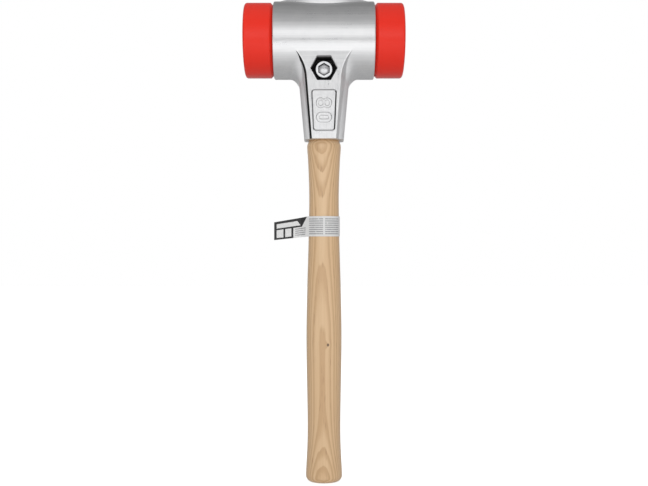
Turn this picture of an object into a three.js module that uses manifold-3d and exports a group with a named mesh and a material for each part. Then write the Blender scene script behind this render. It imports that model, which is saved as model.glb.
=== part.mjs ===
// Soft-face mallet with a split cast head.
// Two identical cast halves clamp an ash handle and two plastic faces with one socket screw.
// Millimetres. X runs along the striking axis, Z runs up the handle from the butt, and the
// viewer of the front half stands at negative Y. Heights named "drop" are measured down from
// the barrel axis; the rest are measured up from the butt.

import * as THREE from 'three';
import { mergeVertices } from 'three/addons/utils/BufferGeometryUtils.js';
import Module from 'manifold-3d';

const wasm = await Module();
wasm.setup();

// Clearances
const FIT_GAP = 0.3;
const SEAT_GAP = 0.1;
const WASHER_PLAY = 0.6;
const PARTING_GAP = 1.0;

// Barrel of the head
const BARREL_HEIGHT = 478;
const BARREL_LENGTH = 108;
const BARREL_RADIUS = 41.4;
const BARREL_EDGE = 1.5;
const NECK_FILLET = 11.5;

// Raised land along the top of the barrel
const LAND_INSET = 2;
const LAND_WIDTH = 45.4;
const LAND_RISE = 0.6;
const LAND_ROOT = 12;

// Neck below the barrel
const NECK_DROP = 108.4;
const NECK_WALL = 3.5;
const NECK_SPREAD = 0.182;
const NECK_TOP_DEPTH = 54;
const NECK_DEPTH_RUN = 75;
const NECK_TOP_DROP = 15;
const NECK_SQUARENESS = 3;
const NECK_BULGE = 1.1;

// Raised sloping panel on each half
const PANEL_MEET_DROP = 18;
const PANEL_STAND = 3.7;
const PANEL_ROOT_REACH = 12;
const PANEL_END_WIDTH = 27.4;
const PANEL_SPREAD = 0.129;
const PANEL_FLARE_DROP = 44;
const PANEL_FLARE_RADIUS = 40;
const PANEL_DRAFT = THREE.MathUtils.degToRad(17);

// Sunk frame with the face size in raised figures
const FRAME_HEAD = 8.7;
const FRAME_FOOT = 7.4;
const FRAME_TOP_MARGIN = 3.4;
const FRAME_END_MARGIN = 2.4;
const FRAME_CORNER = 2.5;
const FRAME_DEPTH = 2.4;
const FRAME_DRAFT = 1.2;
const FIGURE_HEIGHT = 16.3;
const FIGURE_WIDTH = 10.4;
const FIGURE_PITCH = 15;
const EIGHT_STROKE = 2.2;
const NOUGHT_STROKE = 3.2;
const FIGURE_RISE = 0.6;

// Clamp screw, washer and nut
const SCREW_DROP = 36;
const SCREW_RADIUS = 6;
const SCREW_LENGTH = 40;
const SCREW_HEAD_RADIUS = 9;
const SCREW_HEAD_HEIGHT = 12;
const SCREW_CHAMFER = 0.7;
const KEY_ACROSS_FLATS = 10;
const KEY_DEPTH = 6;
const KEY_TURN = THREE.MathUtils.degToRad(30);
const POCKET_ACROSS_FLATS = 25.2;
const POCKET_FLOOR = 10.7;
const POCKET_WALL = 5;
const WASHER_THICKNESS = 2.5;
const NUT_HEIGHT = 12;
const NUT_CHAMFER = 1.2;
const LOCK_RING_WALL = 1.7;
const LOCK_RING_HEIGHT = 3;

// Striking faces
const FACE_RADIUS = 40;
const FACE_HEAD_LENGTH = 30.9;
const FACE_RIM = 3;
const FACE_INNER_CHAMFER = 3;
const SPIGOT_RADIUS = 28;
const SPIGOT_CHAMFER = 1.5;
const WEB_LENGTH = 40;
const WEB_WALL = 8;

// Ash handle: width along X at each height, and depth as a share of the width
const HANDLE_DEPTH_RATIO = 0.78;
const BUTT_ROUNDING = 6.5;
const KNOB_LAND = 2;
const KNOB_WIDTH = 39.2;
const WAIST_HEIGHT = 57;
const WAIST_WIDTH = 35.6;
const SWELL_HEIGHT = 150;
const SWELL_WIDTH = 38.2;
const SHOULDER_DROP = 12;
const SHOULDER_WIDTH = 36.5;
const COLLAR_RUN = 11;
const COLLAR_WIDTH = 34.6;
const THROAT_RUN = 37;
const THROAT_WIDTH = 32.2;
const ENTRY_WIDTH = 35.2;
const TENON_TOP_WIDTH = 40;

// Paper label round the handle, with its ends stuck together as a flag
const LABEL_DROP = 105;
const LABEL_WIDTH = 22.4;
const LABEL_THICKNESS = 0.4;
const LABEL_JOIN = 8;
const FLAG_LENGTH = 29;
const FLAG_END_WIDTH = 19;
const FLAG_SLOPE = 0.19;

// Facets on round work
const BARREL_SIDES = 56;
const ROUND_SIDES = 32;
const OVAL_SIDES = 28;
const EDGE_STEPS = 3;
const FLARE_STEPS = 10;
const STATION_STEPS = 3;
const FIGURE_STEPS = 8;
const CORNER_STEPS = 4;
const LAND_STEPS = 20;
const LABEL_STEPS = 24;

// Rows and columns of the casting's skin; columns outside the neck stand at shares of what is left
const BARREL_ROWS = 26;
const NECK_ROWS = 11;
const NECK_ROW_CROWDING = 1.3;
const INNER_COLUMNS = 9;
const OUTER_SHARES = [0.3, 0.65];
const EDGE_SHARES = [0, 0.5, 0.87, 1];
const FILLET_STEP = 0.02;

// Exactness of welds and of solved depths, and how far a cut runs past the skin it opens
const WELD = 1e-4;
const HALVINGS = 40;
const OVERCUT = 1;

// Sizes that follow from the ones above
const barrelHalf = BARREL_LENGTH / 2;
const neckEnd = BARREL_HEIGHT - NECK_DROP;
const screwHeight = BARREL_HEIGHT - SCREW_DROP;
const webHalf = WEB_LENGTH / 2;
const spigotBore = SPIGOT_RADIUS + FIT_GAP;
const screwBore = SCREW_RADIUS + FIT_GAP;
const washerRadius = POCKET_ACROSS_FLATS / 2 - WASHER_PLAY;
const lockRingRadius = screwBore + LOCK_RING_WALL;
const neckEndWidth = ENTRY_WIDTH + 2 * (FIT_GAP + NECK_WALL);
const neckEndDepth = ENTRY_WIDTH * HANDLE_DEPTH_RATIO + 2 * (FIT_GAP + NECK_WALL);
const frameTop = SCREW_DROP + POCKET_ACROSS_FLATS / 2 + FRAME_HEAD;
const frameEnd = NECK_DROP - FRAME_FOOT;
const knobHeight = BUTT_ROUNDING + KNOB_LAND;
const collarDrop = SHOULDER_DROP + COLLAR_RUN;
const throatDrop = collarDrop + THROAT_RUN;
const labelHeight = neckEnd - LABEL_DROP;
const tenonTop = screwHeight - POCKET_ACROSS_FLATS / 2 - POCKET_WALL;
const washerFace = POCKET_FLOOR + SEAT_GAP + WASHER_THICKNESS;
const screwSeat = washerFace + SEAT_GAP;

// Makes one closed solid of a geometry: welds it, drops collapsed triangles, faces it outwards.
function solid(geometry) {
  const bare = geometry.clone();
  bare.deleteAttribute('normal');
  bare.deleteAttribute('uv');
  const welded = mergeVertices(bare, WELD);
  const points = welded.attributes.position;
  const corners = [new THREE.Vector3(), new THREE.Vector3(), new THREE.Vector3()];
  const triangles = [];
  let volume = 0;
  for (let i = 0; i < welded.index.count; i += 3) {
    const face = [0, 1, 2].map((k) => welded.index.getX(i + k));
    if (new Set(face).size < 3) continue;
    face.forEach((vertex, k) => corners[k].fromBufferAttribute(points, vertex));
    volume += corners[0].dot(corners[1].cross(corners[2]));
    triangles.push(face);
  }
  const outward = triangles.map((face) => (volume < 0 ? [face[0], face[2], face[1]] : face));
  return new wasm.Manifold(new wasm.Mesh({
    numProp: 3,
    vertProperties: new Float32Array(points.array),
    triVerts: new Uint32Array(outward.flat()),
  }));
}

function geometryOf(body) {
  const mesh = body.getMesh();
  const geometry = new THREE.BufferGeometry();
  geometry.setAttribute('position', new THREE.BufferAttribute(mesh.vertProperties, 3));
  geometry.setIndex(new THREE.BufferAttribute(mesh.triVerts, 1));
  geometry.computeVertexNormals();
  return geometry;
}

// Points of a quarter round of the given radius about a centre, from one angle to another.
function arc(centre, radius, from, to) {
  const points = [];
  for (let k = 0; k <= EDGE_STEPS; k += 1) {
    const angle = from + ((to - from) * k) / EDGE_STEPS;
    points.push([centre[0] + radius * Math.cos(angle), centre[1] + radius * Math.sin(angle)]);
  }
  return points;
}

// Turned work about the Y axis: profile points are [distance along the axis, radius].
function turnedAboutY(profile, sides) {
  const points = profile.map(([along, radius]) => new THREE.Vector2(radius, along));
  return new THREE.LatheGeometry(points, sides);
}

function turnedAboutX(profile, sides) {
  return turnedAboutY(profile, sides).rotateZ(-Math.PI / 2);
}

// A plate cut to a shape in the XZ plane and running from one Y to a greater one.
function plateAlongY(shape, fromY, toY) {
  const geometry = new THREE.ExtrudeGeometry(shape, { depth: toY - fromY, bevelEnabled: false });
  return geometry.rotateX(Math.PI / 2).translate(0, toY, 0);
}

function block(size, centre) {
  return new THREE.BoxGeometry(...size).translate(...centre);
}

// A regular hexagon centred on the origin, with two flats level until it is turned.
function hexagon(acrossFlats, turn) {
  const shape = new THREE.Shape();
  const corner = acrossFlats / Math.sqrt(3);
  for (let k = 0; k < 6; k += 1) {
    const angle = (k * Math.PI) / 3 + turn;
    const place = [corner * Math.cos(angle), corner * Math.sin(angle)];
    if (k === 0) shape.moveTo(...place);
    else shape.lineTo(...place);
  }
  return shape.closePath();
}

// A hexagonal prism along Y on the screw's axis.
function hexPrism(acrossFlats, fromY, toY, turn = 0) {
  return plateAlongY(hexagon(acrossFlats, turn), fromY, toY).translate(0, 0, screwHeight);
}

// Skin over a stack of rings of equal count, closed by a fan at each end.
function loft(rings) {
  const count = rings[0].length;
  const points = rings.flat();
  const index = [];
  for (let row = 0; row + 1 < rings.length; row += 1) {
    for (let k = 0; k < count; k += 1) {
      const next = (k + 1) % count;
      const a = row * count + k;
      const b = row * count + next;
      index.push(a, b, b + count, a, b + count, a + count);
    }
  }
  for (const row of [0, rings.length - 1]) {
    const centre = new THREE.Vector3();
    rings[row].forEach((point) => centre.addScaledVector(point, 1 / count));
    points.push(centre);
    for (let k = 0; k < count; k += 1) {
      const edge = [row * count + k, row * count + ((k + 1) % count)];
      if (row === 0) edge.reverse();
      index.push(points.length - 1, ...edge);
    }
  }
  const geometry = new THREE.BufferGeometry().setFromPoints(points);
  return geometry.setIndex(index);
}

// A level ring: a rounded section of the given half sizes, an ellipse at squareness 2.
function oval(halfX, halfY, height, squareness = 2) {
  const power = 2 / squareness;
  const ring = [];
  for (let k = 0; k < OVAL_SIDES; k += 1) {
    const angle = (2 * Math.PI * k) / OVAL_SIDES;
    const [c, s] = [Math.cos(angle), Math.sin(angle)];
    const x = halfX * Math.sign(c) * Math.abs(c) ** power;
    const y = halfY * Math.sign(s) * Math.abs(s) ** power;
    ring.push(new THREE.Vector3(x, y, height));
  }
  return ring;
}

// The casting's outer form: barrel and neck joined by a round fillet
function barrelRadiusAt(x) {
  const into = Math.abs(x) - (barrelHalf - BARREL_EDGE);
  if (into <= 0) return BARREL_RADIUS;
  return BARREL_RADIUS - BARREL_EDGE + Math.sqrt(Math.max(BARREL_EDGE ** 2 - into ** 2, 0));
}

function neckHalfWidth(drop) {
  return (neckEndWidth + NECK_SPREAD * (NECK_DROP - drop)) / 2;
}

function neckHalfDepth(drop) {
  const share = THREE.MathUtils.clamp((NECK_DROP - drop) / NECK_DEPTH_RUN, 0, 1);
  const growth = (NECK_TOP_DEPTH - neckEndDepth) * Math.sin((share * Math.PI) / 2);
  return (neckEndDepth + growth) / 2;
}

// How far a point lies outside the casting; the point is [x, y, drop].
// The neck's flanks belong to a rounded section wider than the neck, cut off flat at its sides.
function castingGap(x, y, drop) {
  const barrel = Math.hypot(y, drop) - barrelRadiusAt(x);
  const halfWidth = neckHalfWidth(drop);
  const widthShare = Math.abs(x) / (halfWidth * NECK_BULGE);
  const depthShare = Math.abs(y) / neckHalfDepth(drop);
  const reach = (widthShare ** NECK_SQUARENESS + depthShare ** NECK_SQUARENESS) ** (1 / NECK_SQUARENESS);
  const radial = Math.hypot(x, y) * (1 - 1 / Math.max(reach, WELD));
  const neck = Math.max(radial, Math.abs(x) - halfWidth, NECK_TOP_DROP - drop);
  const corner = Math.hypot(Math.max(NECK_FILLET - barrel, 0), Math.max(NECK_FILLET - neck, 0));
  return Math.max(NECK_FILLET, Math.min(barrel, neck)) - corner;
}

// The greatest value at which a growing function is still negative, by halving.
function lastInside(test, inside, outside) {
  let [low, high] = [inside, outside];
  for (let k = 0; k < HALVINGS; k += 1) {
    const middle = (low + high) / 2;
    if (test(middle) < 0) low = middle;
    else high = middle;
  }
  return low;
}

// Half width of the casting's outline at its parting plane, below the barrel.
function outlineHalfWidth(drop) {
  return lastInside((x) => castingGap(x, 0, drop), 0, barrelHalf);
}

function frontDepth(x, drop) {
  if (castingGap(x, 0, drop) >= 0) return 0;
  return lastInside((y) => castingGap(x, y, drop), 0, 2 * BARREL_RADIUS);
}

// The whole casting as a skin of level rows, front and back alike.
// Rows down the barrel run its full length; rows below it narrow to the neck's outline.
function castingForm() {
  const filletTop = BARREL_RADIUS + FILLET_STEP;
  const filletHalf = outlineHalfWidth(filletTop);
  const edgeStart = barrelHalf - BARREL_EDGE;
  const outer = OUTER_SHARES.map((share) => THREE.MathUtils.lerp(filletHalf, edgeStart, share));
  const rounding = EDGE_SHARES.map((share) => THREE.MathUtils.lerp(edgeStart, barrelHalf, share));
  const inner = [];
  for (let k = 0; k <= INNER_COLUMNS; k += 1) {
    inner.push(filletHalf * Math.sin((Math.PI / 2) * (k / INNER_COLUMNS)));
  }
  const right = [...inner, ...outer, ...rounding];
  const columns = [...right.slice(1).reverse().map((x) => -x), ...right];
  const first = outer.length + rounding.length;
  const last = columns.length - 1 - first;
  const rows = [];
  for (let k = 0; k <= BARREL_ROWS; k += 1) {
    const angle = (Math.PI * k) / BARREL_ROWS;
    rows.push(columns.map((x) => {
      const drop = -barrelRadiusAt(x) * Math.cos(angle);
      const onParting = k === 0 || (k === BARREL_ROWS && Math.abs(x) >= filletHalf);
      return new THREE.Vector3(x, onParting ? 0 : -frontDepth(x, drop), -drop);
    }));
  }
  const narrow = columns.slice(first, last + 1);
  for (let k = 1; k <= NECK_ROWS; k += 1) {
    const drop = THREE.MathUtils.lerp(filletTop, NECK_DROP, (k / NECK_ROWS) ** NECK_ROW_CROWDING);
    const half = outlineHalfWidth(drop);
    rows.push(narrow.map((x, column) => {
      const place = (x / filletHalf) * half;
      const edge = column === 0 || column === narrow.length - 1;
      return new THREE.Vector3(place, edge ? 0 : -frontDepth(place, drop), -drop);
    }));
  }
  return skinOfRows(rows, first);
}

// Joins the rows of one side and their mirror into a closed skin.
function skinOfRows(rows, shift) {
  const points = [];
  const starts = rows.map((row) => {
    row.forEach((point) => points.push(point));
    return points.length - row.length;
  });
  const frontCount = points.length;
  const sheet = [];
  for (let row = 0; row + 1 < rows.length; row += 1) {
    const offset = row === BARREL_ROWS ? shift : 0;
    const width = rows[row + 1].length;
    for (let k = 0; k + 1 < width; k += 1) {
      const a = starts[row] + offset + k;
      const b = starts[row + 1] + k;
      sheet.push([a, b, b + 1], [a, b + 1, a + 1]);
    }
  }
  const edges = [];
  for (let row = 0; row < BARREL_ROWS; row += 1) {
    const end = rows[row].length - 1;
    edges.push([starts[row], starts[row + 1]], [starts[row + 1] + end, starts[row] + end]);
  }
  const foot = rows.length - 1;
  for (let k = 0; k + 1 < rows[foot].length; k += 1) {
    edges.push([starts[foot] + k, starts[foot] + k + 1]);
  }
  for (let k = 0; k < frontCount; k += 1) {
    points.push(points[k].clone().setY(-points[k].y));
  }
  const index = [];
  sheet.forEach(([a, b, c]) => index.push(a, b, c, a + frontCount, c + frontCount, b + frontCount));
  edges.forEach(([a, b]) => index.push(a, a + frontCount, b, b, a + frontCount, b + frontCount));
  return new THREE.BufferGeometry().setFromPoints(points).setIndex(index).translate(0, 0, BARREL_HEIGHT);
}

// The raised panel: a sloping face with drafted walls, wide where it runs into the barrel
const panelMeetReach = Math.sqrt(BARREL_RADIUS ** 2 - PANEL_MEET_DROP ** 2);
const panelEndReach = neckEndDepth / 2 + PANEL_STAND;
const panelSlope = (panelMeetReach - panelEndReach) / (NECK_DROP - PANEL_MEET_DROP);

function panelReach(drop) {
  return panelMeetReach - panelSlope * (drop - PANEL_MEET_DROP);
}

function panelHalfWidth(drop) {
  const straight = (PANEL_END_WIDTH + PANEL_SPREAD * (NECK_DROP - drop)) / 2;
  const rise = Math.min(Math.max(PANEL_FLARE_DROP - drop, 0), PANEL_FLARE_RADIUS);
  return straight + PANEL_FLARE_RADIUS - Math.sqrt(PANEL_FLARE_RADIUS ** 2 - rise ** 2);
}

function panelForm() {
  const drops = [NECK_DROP];
  for (let k = 0; k <= FLARE_STEPS; k += 1) {
    drops.push(THREE.MathUtils.lerp(PANEL_FLARE_DROP, PANEL_MEET_DROP, k / FLARE_STEPS));
  }
  return loft(drops.map((drop) => {
    const top = panelHalfWidth(drop);
    const reach = panelReach(drop);
    const root = top + (reach - PANEL_ROOT_REACH) * Math.tan(PANEL_DRAFT);
    const height = BARREL_HEIGHT - drop;
    return [
      new THREE.Vector3(-top, -reach, height),
      new THREE.Vector3(top, -reach, height),
      new THREE.Vector3(root, -PANEL_ROOT_REACH, height),
      new THREE.Vector3(-root, -PANEL_ROOT_REACH, height),
    ];
  }));
}

// Moves work drawn flat, with X across, Y up and Z out, on to the panel at the frame's centre.
const frameDrop = (frameTop + frameEnd) / 2;

function onPanel(geometry) {
  const tilt = Math.atan(panelSlope);
  return geometry
    .rotateX(Math.PI / 2 + tilt)
    .translate(0, -panelReach(frameDrop), BARREL_HEIGHT - frameDrop);
}

// A four-sided outline, narrower at the foot, with rounded corners.
// Each side stands further out by the given growth.
function frameShape(growth) {
  const half = (frameEnd - frameTop) / 2 + growth;
  const topHalf = panelHalfWidth(frameTop) - FRAME_TOP_MARGIN + growth;
  const endHalf = panelHalfWidth(frameEnd) - FRAME_END_MARGIN + growth;
  const corners = [
    new THREE.Vector2(-endHalf, -half),
    new THREE.Vector2(endHalf, -half),
    new THREE.Vector2(topHalf, half),
    new THREE.Vector2(-topHalf, half),
  ];
  const shape = new THREE.Shape();
  corners.forEach((corner, k) => {
    const before = corners[(k + 3) % 4].clone().sub(corner).setLength(FRAME_CORNER).add(corner);
    const after = corners[(k + 1) % 4].clone().sub(corner).setLength(FRAME_CORNER).add(corner);
    if (k === 0) shape.moveTo(before.x, before.y);
    else shape.lineTo(before.x, before.y);
    shape.quadraticCurveTo(corner.x, corner.y, after.x, after.y);
  });
  return shape.closePath();
}

// The sunk frame's hollow: its walls lean outwards from the floor through the panel's face.
function recessForm() {
  return loft([-1, 1].map((side) => {
    const outline = frameShape(side * FRAME_DRAFT).getPoints(CORNER_STEPS).slice(0, -1);
    return outline.map((point) => new THREE.Vector3(point.x, point.y, side * FRAME_DEPTH));
  }));
}

// A closed loop with half-round ends, lying along X.
function stadium(path, length, width, centreX) {
  const straight = (length - width) / 2;
  path.absarc(centreX + straight, 0, width / 2, -Math.PI / 2, Math.PI / 2, false);
  path.absarc(centreX - straight, 0, width / 2, Math.PI / 2, (3 * Math.PI) / 2, false);
  return path;
}

// Raised figures 8 and 0, read from the side with their tops towards +X.
function figures() {
  const plain = { depth: FIGURE_RISE + SEAT_GAP, bevelEnabled: false, curveSegments: FIGURE_STEPS };
  const eight = stadium(new THREE.Shape(), FIGURE_HEIGHT, FIGURE_WIDTH, 0);
  const eyeLength = (FIGURE_HEIGHT - 3 * EIGHT_STROKE) / 2;
  for (const side of [-1, 1]) {
    const eye = new THREE.Path();
    eye.absellipse(
      (side * (eyeLength + EIGHT_STROKE)) / 2, 0,
      eyeLength / 2, FIGURE_WIDTH / 2 - EIGHT_STROKE,
      0, 2 * Math.PI, true, 0,
    );
    eight.holes.push(eye);
  }
  const nought = stadium(new THREE.Shape(), FIGURE_HEIGHT, FIGURE_WIDTH, 0);
  const slot = [FIGURE_HEIGHT - 2 * NOUGHT_STROKE, FIGURE_WIDTH - 2 * NOUGHT_STROKE];
  nought.holes.push(stadium(new THREE.Path(), ...slot, 0));
  return [eight, nought].map((shape, k) => {
    const up = FIGURE_PITCH * (0.5 - k);
    const figure = new THREE.ExtrudeGeometry(shape, plain);
    return onPanel(figure.translate(0, up, -FRAME_DEPTH - SEAT_GAP));
  });
}

// The lens-shaped land along the top of the barrel
function landForm() {
  const halfLength = barrelHalf - LAND_INSET;
  const halfWidth = LAND_WIDTH / 2;
  const radius = (halfLength ** 2 + halfWidth ** 2) / (2 * halfWidth);
  const reach = Math.asin(halfLength / radius);
  const shape = new THREE.Shape();
  shape.absarc(0, halfWidth - radius, radius, Math.PI / 2 - reach, Math.PI / 2 + reach, false);
  shape.absarc(0, radius - halfWidth, radius, -Math.PI / 2 - reach, -Math.PI / 2 + reach, false);
  const plate = new THREE.ExtrudeGeometry(shape, {
    depth: LAND_ROOT + LAND_RISE,
    bevelEnabled: false,
    curveSegments: LAND_STEPS,
  });
  return plate.translate(0, 0, BARREL_HEIGHT + BARREL_RADIUS - LAND_ROOT);
}

// Rings of the handle's tenon, grown by a clearance for the socket that holds it.
function tenonRings(gap) {
  const bottom = neckEnd - gap - SEAT_GAP;
  const rings = [];
  for (const [width, height] of [[ENTRY_WIDTH, bottom], [TENON_TOP_WIDTH, tenonTop + gap]]) {
    const half = width / 2;
    rings.push(oval(half + gap, half * HANDLE_DEPTH_RATIO + gap, height));
  }
  return rings;
}

// One cast half, open on its parting plane, with its blind bores, socket, pocket and screw hole
function housingHalf() {
  const farX = barrelHalf + OVERCUT;
  let half = solid(castingForm()).add(solid(panelForm())).add(solid(landForm()));
  for (const side of [-1, 1]) {
    const bore = turnedAboutX(
      [[webHalf, 0], [webHalf, spigotBore], [farX, spigotBore], [farX, 0]],
      ROUND_SIDES,
    );
    half = half.subtract(solid(bore.scale(side, 1, 1).translate(0, 0, BARREL_HEIGHT)));
  }
  const coreHalf = webHalf - WEB_WALL;
  const coreFloor = SCREW_DROP - POCKET_ACROSS_FLATS / 2 - POCKET_WALL;
  const core = solid(turnedAboutX(
    [[-coreHalf, 0], [-coreHalf, spigotBore], [coreHalf, spigotBore], [coreHalf, 0]],
    ROUND_SIDES,
  ).translate(0, 0, BARREL_HEIGHT));
  const coreSpan = 2 * BARREL_RADIUS;
  const coreBlock = solid(block(
    [coreSpan, coreSpan, coreSpan],
    [0, 0, BARREL_HEIGHT - coreFloor + coreSpan / 2],
  ));
  half = half.subtract(core.intersect(coreBlock));
  half = half.subtract(solid(loft(tenonRings(FIT_GAP))));
  half = half.subtract(solid(hexPrism(POCKET_ACROSS_FLATS, -2 * BARREL_RADIUS, -POCKET_FLOOR)));
  half = half.subtract(solid(turnedAboutY(
    [[-2 * POCKET_FLOOR, 0], [-2 * POCKET_FLOOR, screwBore], [OVERCUT, screwBore], [OVERCUT, 0]],
    ROUND_SIDES,
  ).translate(0, 0, screwHeight)));
  half = half.subtract(solid(onPanel(recessForm())));
  figures().forEach((figure) => { half = half.add(solid(figure)); });
  const span = 4 * BARREL_HEIGHT;
  return half.subtract(solid(block([span, span, span], [0, (span - PARTING_GAP) / 2, 0])));
}

// A plastic face for the right-hand side: a thick disc on a plain round spigot
function face() {
  const innerX = barrelHalf + FIT_GAP;
  const outerX = innerX + FACE_HEAD_LENGTH;
  const spigotX = webHalf + FIT_GAP;
  return turnedAboutX([
    [spigotX, 0],
    [spigotX, SPIGOT_RADIUS - SPIGOT_CHAMFER],
    [spigotX + SPIGOT_CHAMFER, SPIGOT_RADIUS],
    [innerX, SPIGOT_RADIUS],
    [innerX, FACE_RADIUS - FACE_INNER_CHAMFER],
    [innerX + FACE_INNER_CHAMFER, FACE_RADIUS],
    ...arc([outerX - FACE_RIM, FACE_RADIUS - FACE_RIM], FACE_RIM, Math.PI / 2, 0),
    [outerX, 0],
  ], BARREL_SIDES).translate(0, 0, BARREL_HEIGHT);
}

// The handle's outline from the knob at the butt to the neck, as [height, width]
const swellToThroat = [1 / 3, 2 / 3].map((share) => {
  const ease = THREE.MathUtils.smoothstep(share, 0, 1);
  return [
    THREE.MathUtils.lerp(SWELL_HEIGHT, neckEnd - throatDrop, share),
    THREE.MathUtils.lerp(SWELL_WIDTH, THROAT_WIDTH, ease),
  ];
});
const handleStations = [
  [knobHeight, KNOB_WIDTH],
  [WAIST_HEIGHT, WAIST_WIDTH],
  [SWELL_HEIGHT, SWELL_WIDTH],
  ...swellToThroat,
  [neckEnd - throatDrop, THROAT_WIDTH],
  [neckEnd - collarDrop, COLLAR_WIDTH],
  [neckEnd - SHOULDER_DROP, SHOULDER_WIDTH],
  [neckEnd - SEAT_GAP, ENTRY_WIDTH],
];
const handleCurve = new THREE.SplineCurve(handleStations.map((station) => new THREE.Vector2(...station)));
const handleOutline = handleCurve.getPoints(STATION_STEPS * (handleStations.length - 1));

function handleHalfWidth(height) {
  const above = handleOutline.findIndex((point) => point.x >= height);
  const [low, high] = [handleOutline[above - 1], handleOutline[above]];
  return THREE.MathUtils.mapLinear(height, low.x, high.x, low.y, high.y) / 2;
}

function handle() {
  const rings = [];
  const rounding = arc([0, BUTT_ROUNDING], BUTT_ROUNDING, -Math.PI / 2, 0);
  rounding.forEach(([out, height]) => {
    const half = KNOB_WIDTH / 2 - BUTT_ROUNDING + out;
    rings.push(oval(half, half - (1 - HANDLE_DEPTH_RATIO) * (KNOB_WIDTH / 2), height));
  });
  handleOutline.forEach((point) => {
    rings.push(oval(point.y / 2, (point.y / 2) * HANDLE_DEPTH_RATIO, point.x));
  });
  rings.push(tenonRings(0)[1]);
  return loft(rings);
}

// Socket-headed clamp screw, head to the front
function screw() {
  const headFace = -(screwSeat + SCREW_HEAD_HEIGHT);
  const tip = -screwSeat + SCREW_LENGTH;
  const body = solid(turnedAboutY([
    [headFace, 0],
    [headFace, SCREW_HEAD_RADIUS - SCREW_CHAMFER],
    [headFace + SCREW_CHAMFER, SCREW_HEAD_RADIUS],
    [-screwSeat, SCREW_HEAD_RADIUS],
    [-screwSeat, SCREW_RADIUS],
    [tip - SCREW_CHAMFER, SCREW_RADIUS],
    [tip, SCREW_RADIUS - SCREW_CHAMFER],
    [tip, 0],
  ], ROUND_SIDES).translate(0, 0, screwHeight));
  const socket = hexPrism(KEY_ACROSS_FLATS, headFace - KEY_DEPTH, headFace + KEY_DEPTH, KEY_TURN);
  return body.subtract(solid(socket));
}

// A flat ring about the screw's axis
function ring(fromY, toY, innerRadius, outerRadius) {
  return turnedAboutY([
    [fromY, innerRadius],
    [fromY, outerRadius],
    [toY, outerRadius],
    [toY, innerRadius],
    [fromY, innerRadius],
  ], ROUND_SIDES).translate(0, 0, screwHeight);
}

const nutFoot = POCKET_FLOOR + SEAT_GAP;
const nutTop = nutFoot + NUT_HEIGHT;
const ringFoot = nutTop - LOCK_RING_HEIGHT;

// Captive nut that fills the rear pocket, with a seat for its lock ring
function nut() {
  const acrossFlats = POCKET_ACROSS_FLATS - 2 * FIT_GAP;
  const corner = acrossFlats / Math.sqrt(3);
  const blank = solid(hexPrism(acrossFlats, nutFoot, nutTop));
  const turned = solid(turnedAboutY([
    [nutFoot, 0],
    [nutFoot, corner],
    [nutTop - NUT_CHAMFER, corner],
    [nutTop, corner - 2 * NUT_CHAMFER],
    [nutTop, 0],
  ], ROUND_SIDES).translate(0, 0, screwHeight));
  const bore = solid(ring(nutFoot - OVERCUT, nutTop + OVERCUT, 0, screwBore));
  const seat = solid(ring(ringFoot - SEAT_GAP, nutTop + OVERCUT, 0, lockRingRadius + FIT_GAP));
  return blank.intersect(turned).subtract(bore).subtract(seat);
}

// Paper loop round the handle whose ends meet beside it and run on as a flag
function label() {
  const ends = [labelHeight, labelHeight + LABEL_WIDTH];
  const inner = Math.max(...ends.map(handleHalfWidth)) + FIT_GAP;
  const outer = inner + LABEL_THICKNESS;
  const join = -inner - LABEL_JOIN;
  const tip = join - FLAG_LENGTH;
  const hollowTip = join + LABEL_THICKNESS;
  const leave = Math.acos(inner / hollowTip);
  const loop = new THREE.Shape();
  loop.absellipse(0, 0, outer, outer * HANDLE_DEPTH_RATIO, -leave, leave, false, 0);
  loop.lineTo(join, LABEL_THICKNESS);
  loop.lineTo(tip, LABEL_THICKNESS);
  loop.lineTo(tip, -LABEL_THICKNESS);
  loop.lineTo(join, -LABEL_THICKNESS);
  loop.closePath();
  const hollow = new THREE.Path();
  const back = inner * HANDLE_DEPTH_RATIO;
  hollow.absellipse(0, 0, inner, back, -leave, leave, false, 0);
  hollow.lineTo(hollowTip, 0);
  hollow.closePath();
  loop.holes.push(hollow);
  const geometry = new THREE.ExtrudeGeometry(loop, {
    depth: LABEL_WIDTH,
    bevelEnabled: false,
    curveSegments: LABEL_STEPS,
  });
  const points = geometry.attributes.position;
  for (let k = 0; k < points.count; k += 1) {
    const beyond = Math.max(-inner - points.getX(k), 0);
    const narrowing = (1 - FLAG_END_WIDTH / LABEL_WIDTH) * (beyond / (LABEL_JOIN + FLAG_LENGTH));
    const below = (LABEL_WIDTH - points.getZ(k)) * (1 - narrowing) + FLAG_SLOPE * beyond;
    points.setZ(k, labelHeight + LABEL_WIDTH - below);
  }
  return geometry;
}

const castMetal = { color: 0xb9babd, roughness: 0.42, metalness: 1 };
const redPlastic = { color: 0xdf2a22, roughness: 0.4, metalness: 0 };
const ash = { color: 0xd8b482, roughness: 0.6, metalness: 0 };
const blackSteel = { color: 0x2a2a2c, roughness: 0.55, metalness: 1 };
const zincSteel = { color: 0xd4d5d8, roughness: 0.28, metalness: 1 };
const nylon = { color: 0xe9e6dc, roughness: 0.5, metalness: 0 };
const paper = { color: 0xf1f0ee, roughness: 0.8, metalness: 0 };

const mallet = new THREE.Group();

function place(name, body, finish) {
  const mesh = new THREE.Mesh(geometryOf(body), new THREE.MeshStandardMaterial(finish));
  mesh.name = name;
  mallet.add(mesh);
  return mesh;
}

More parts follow.
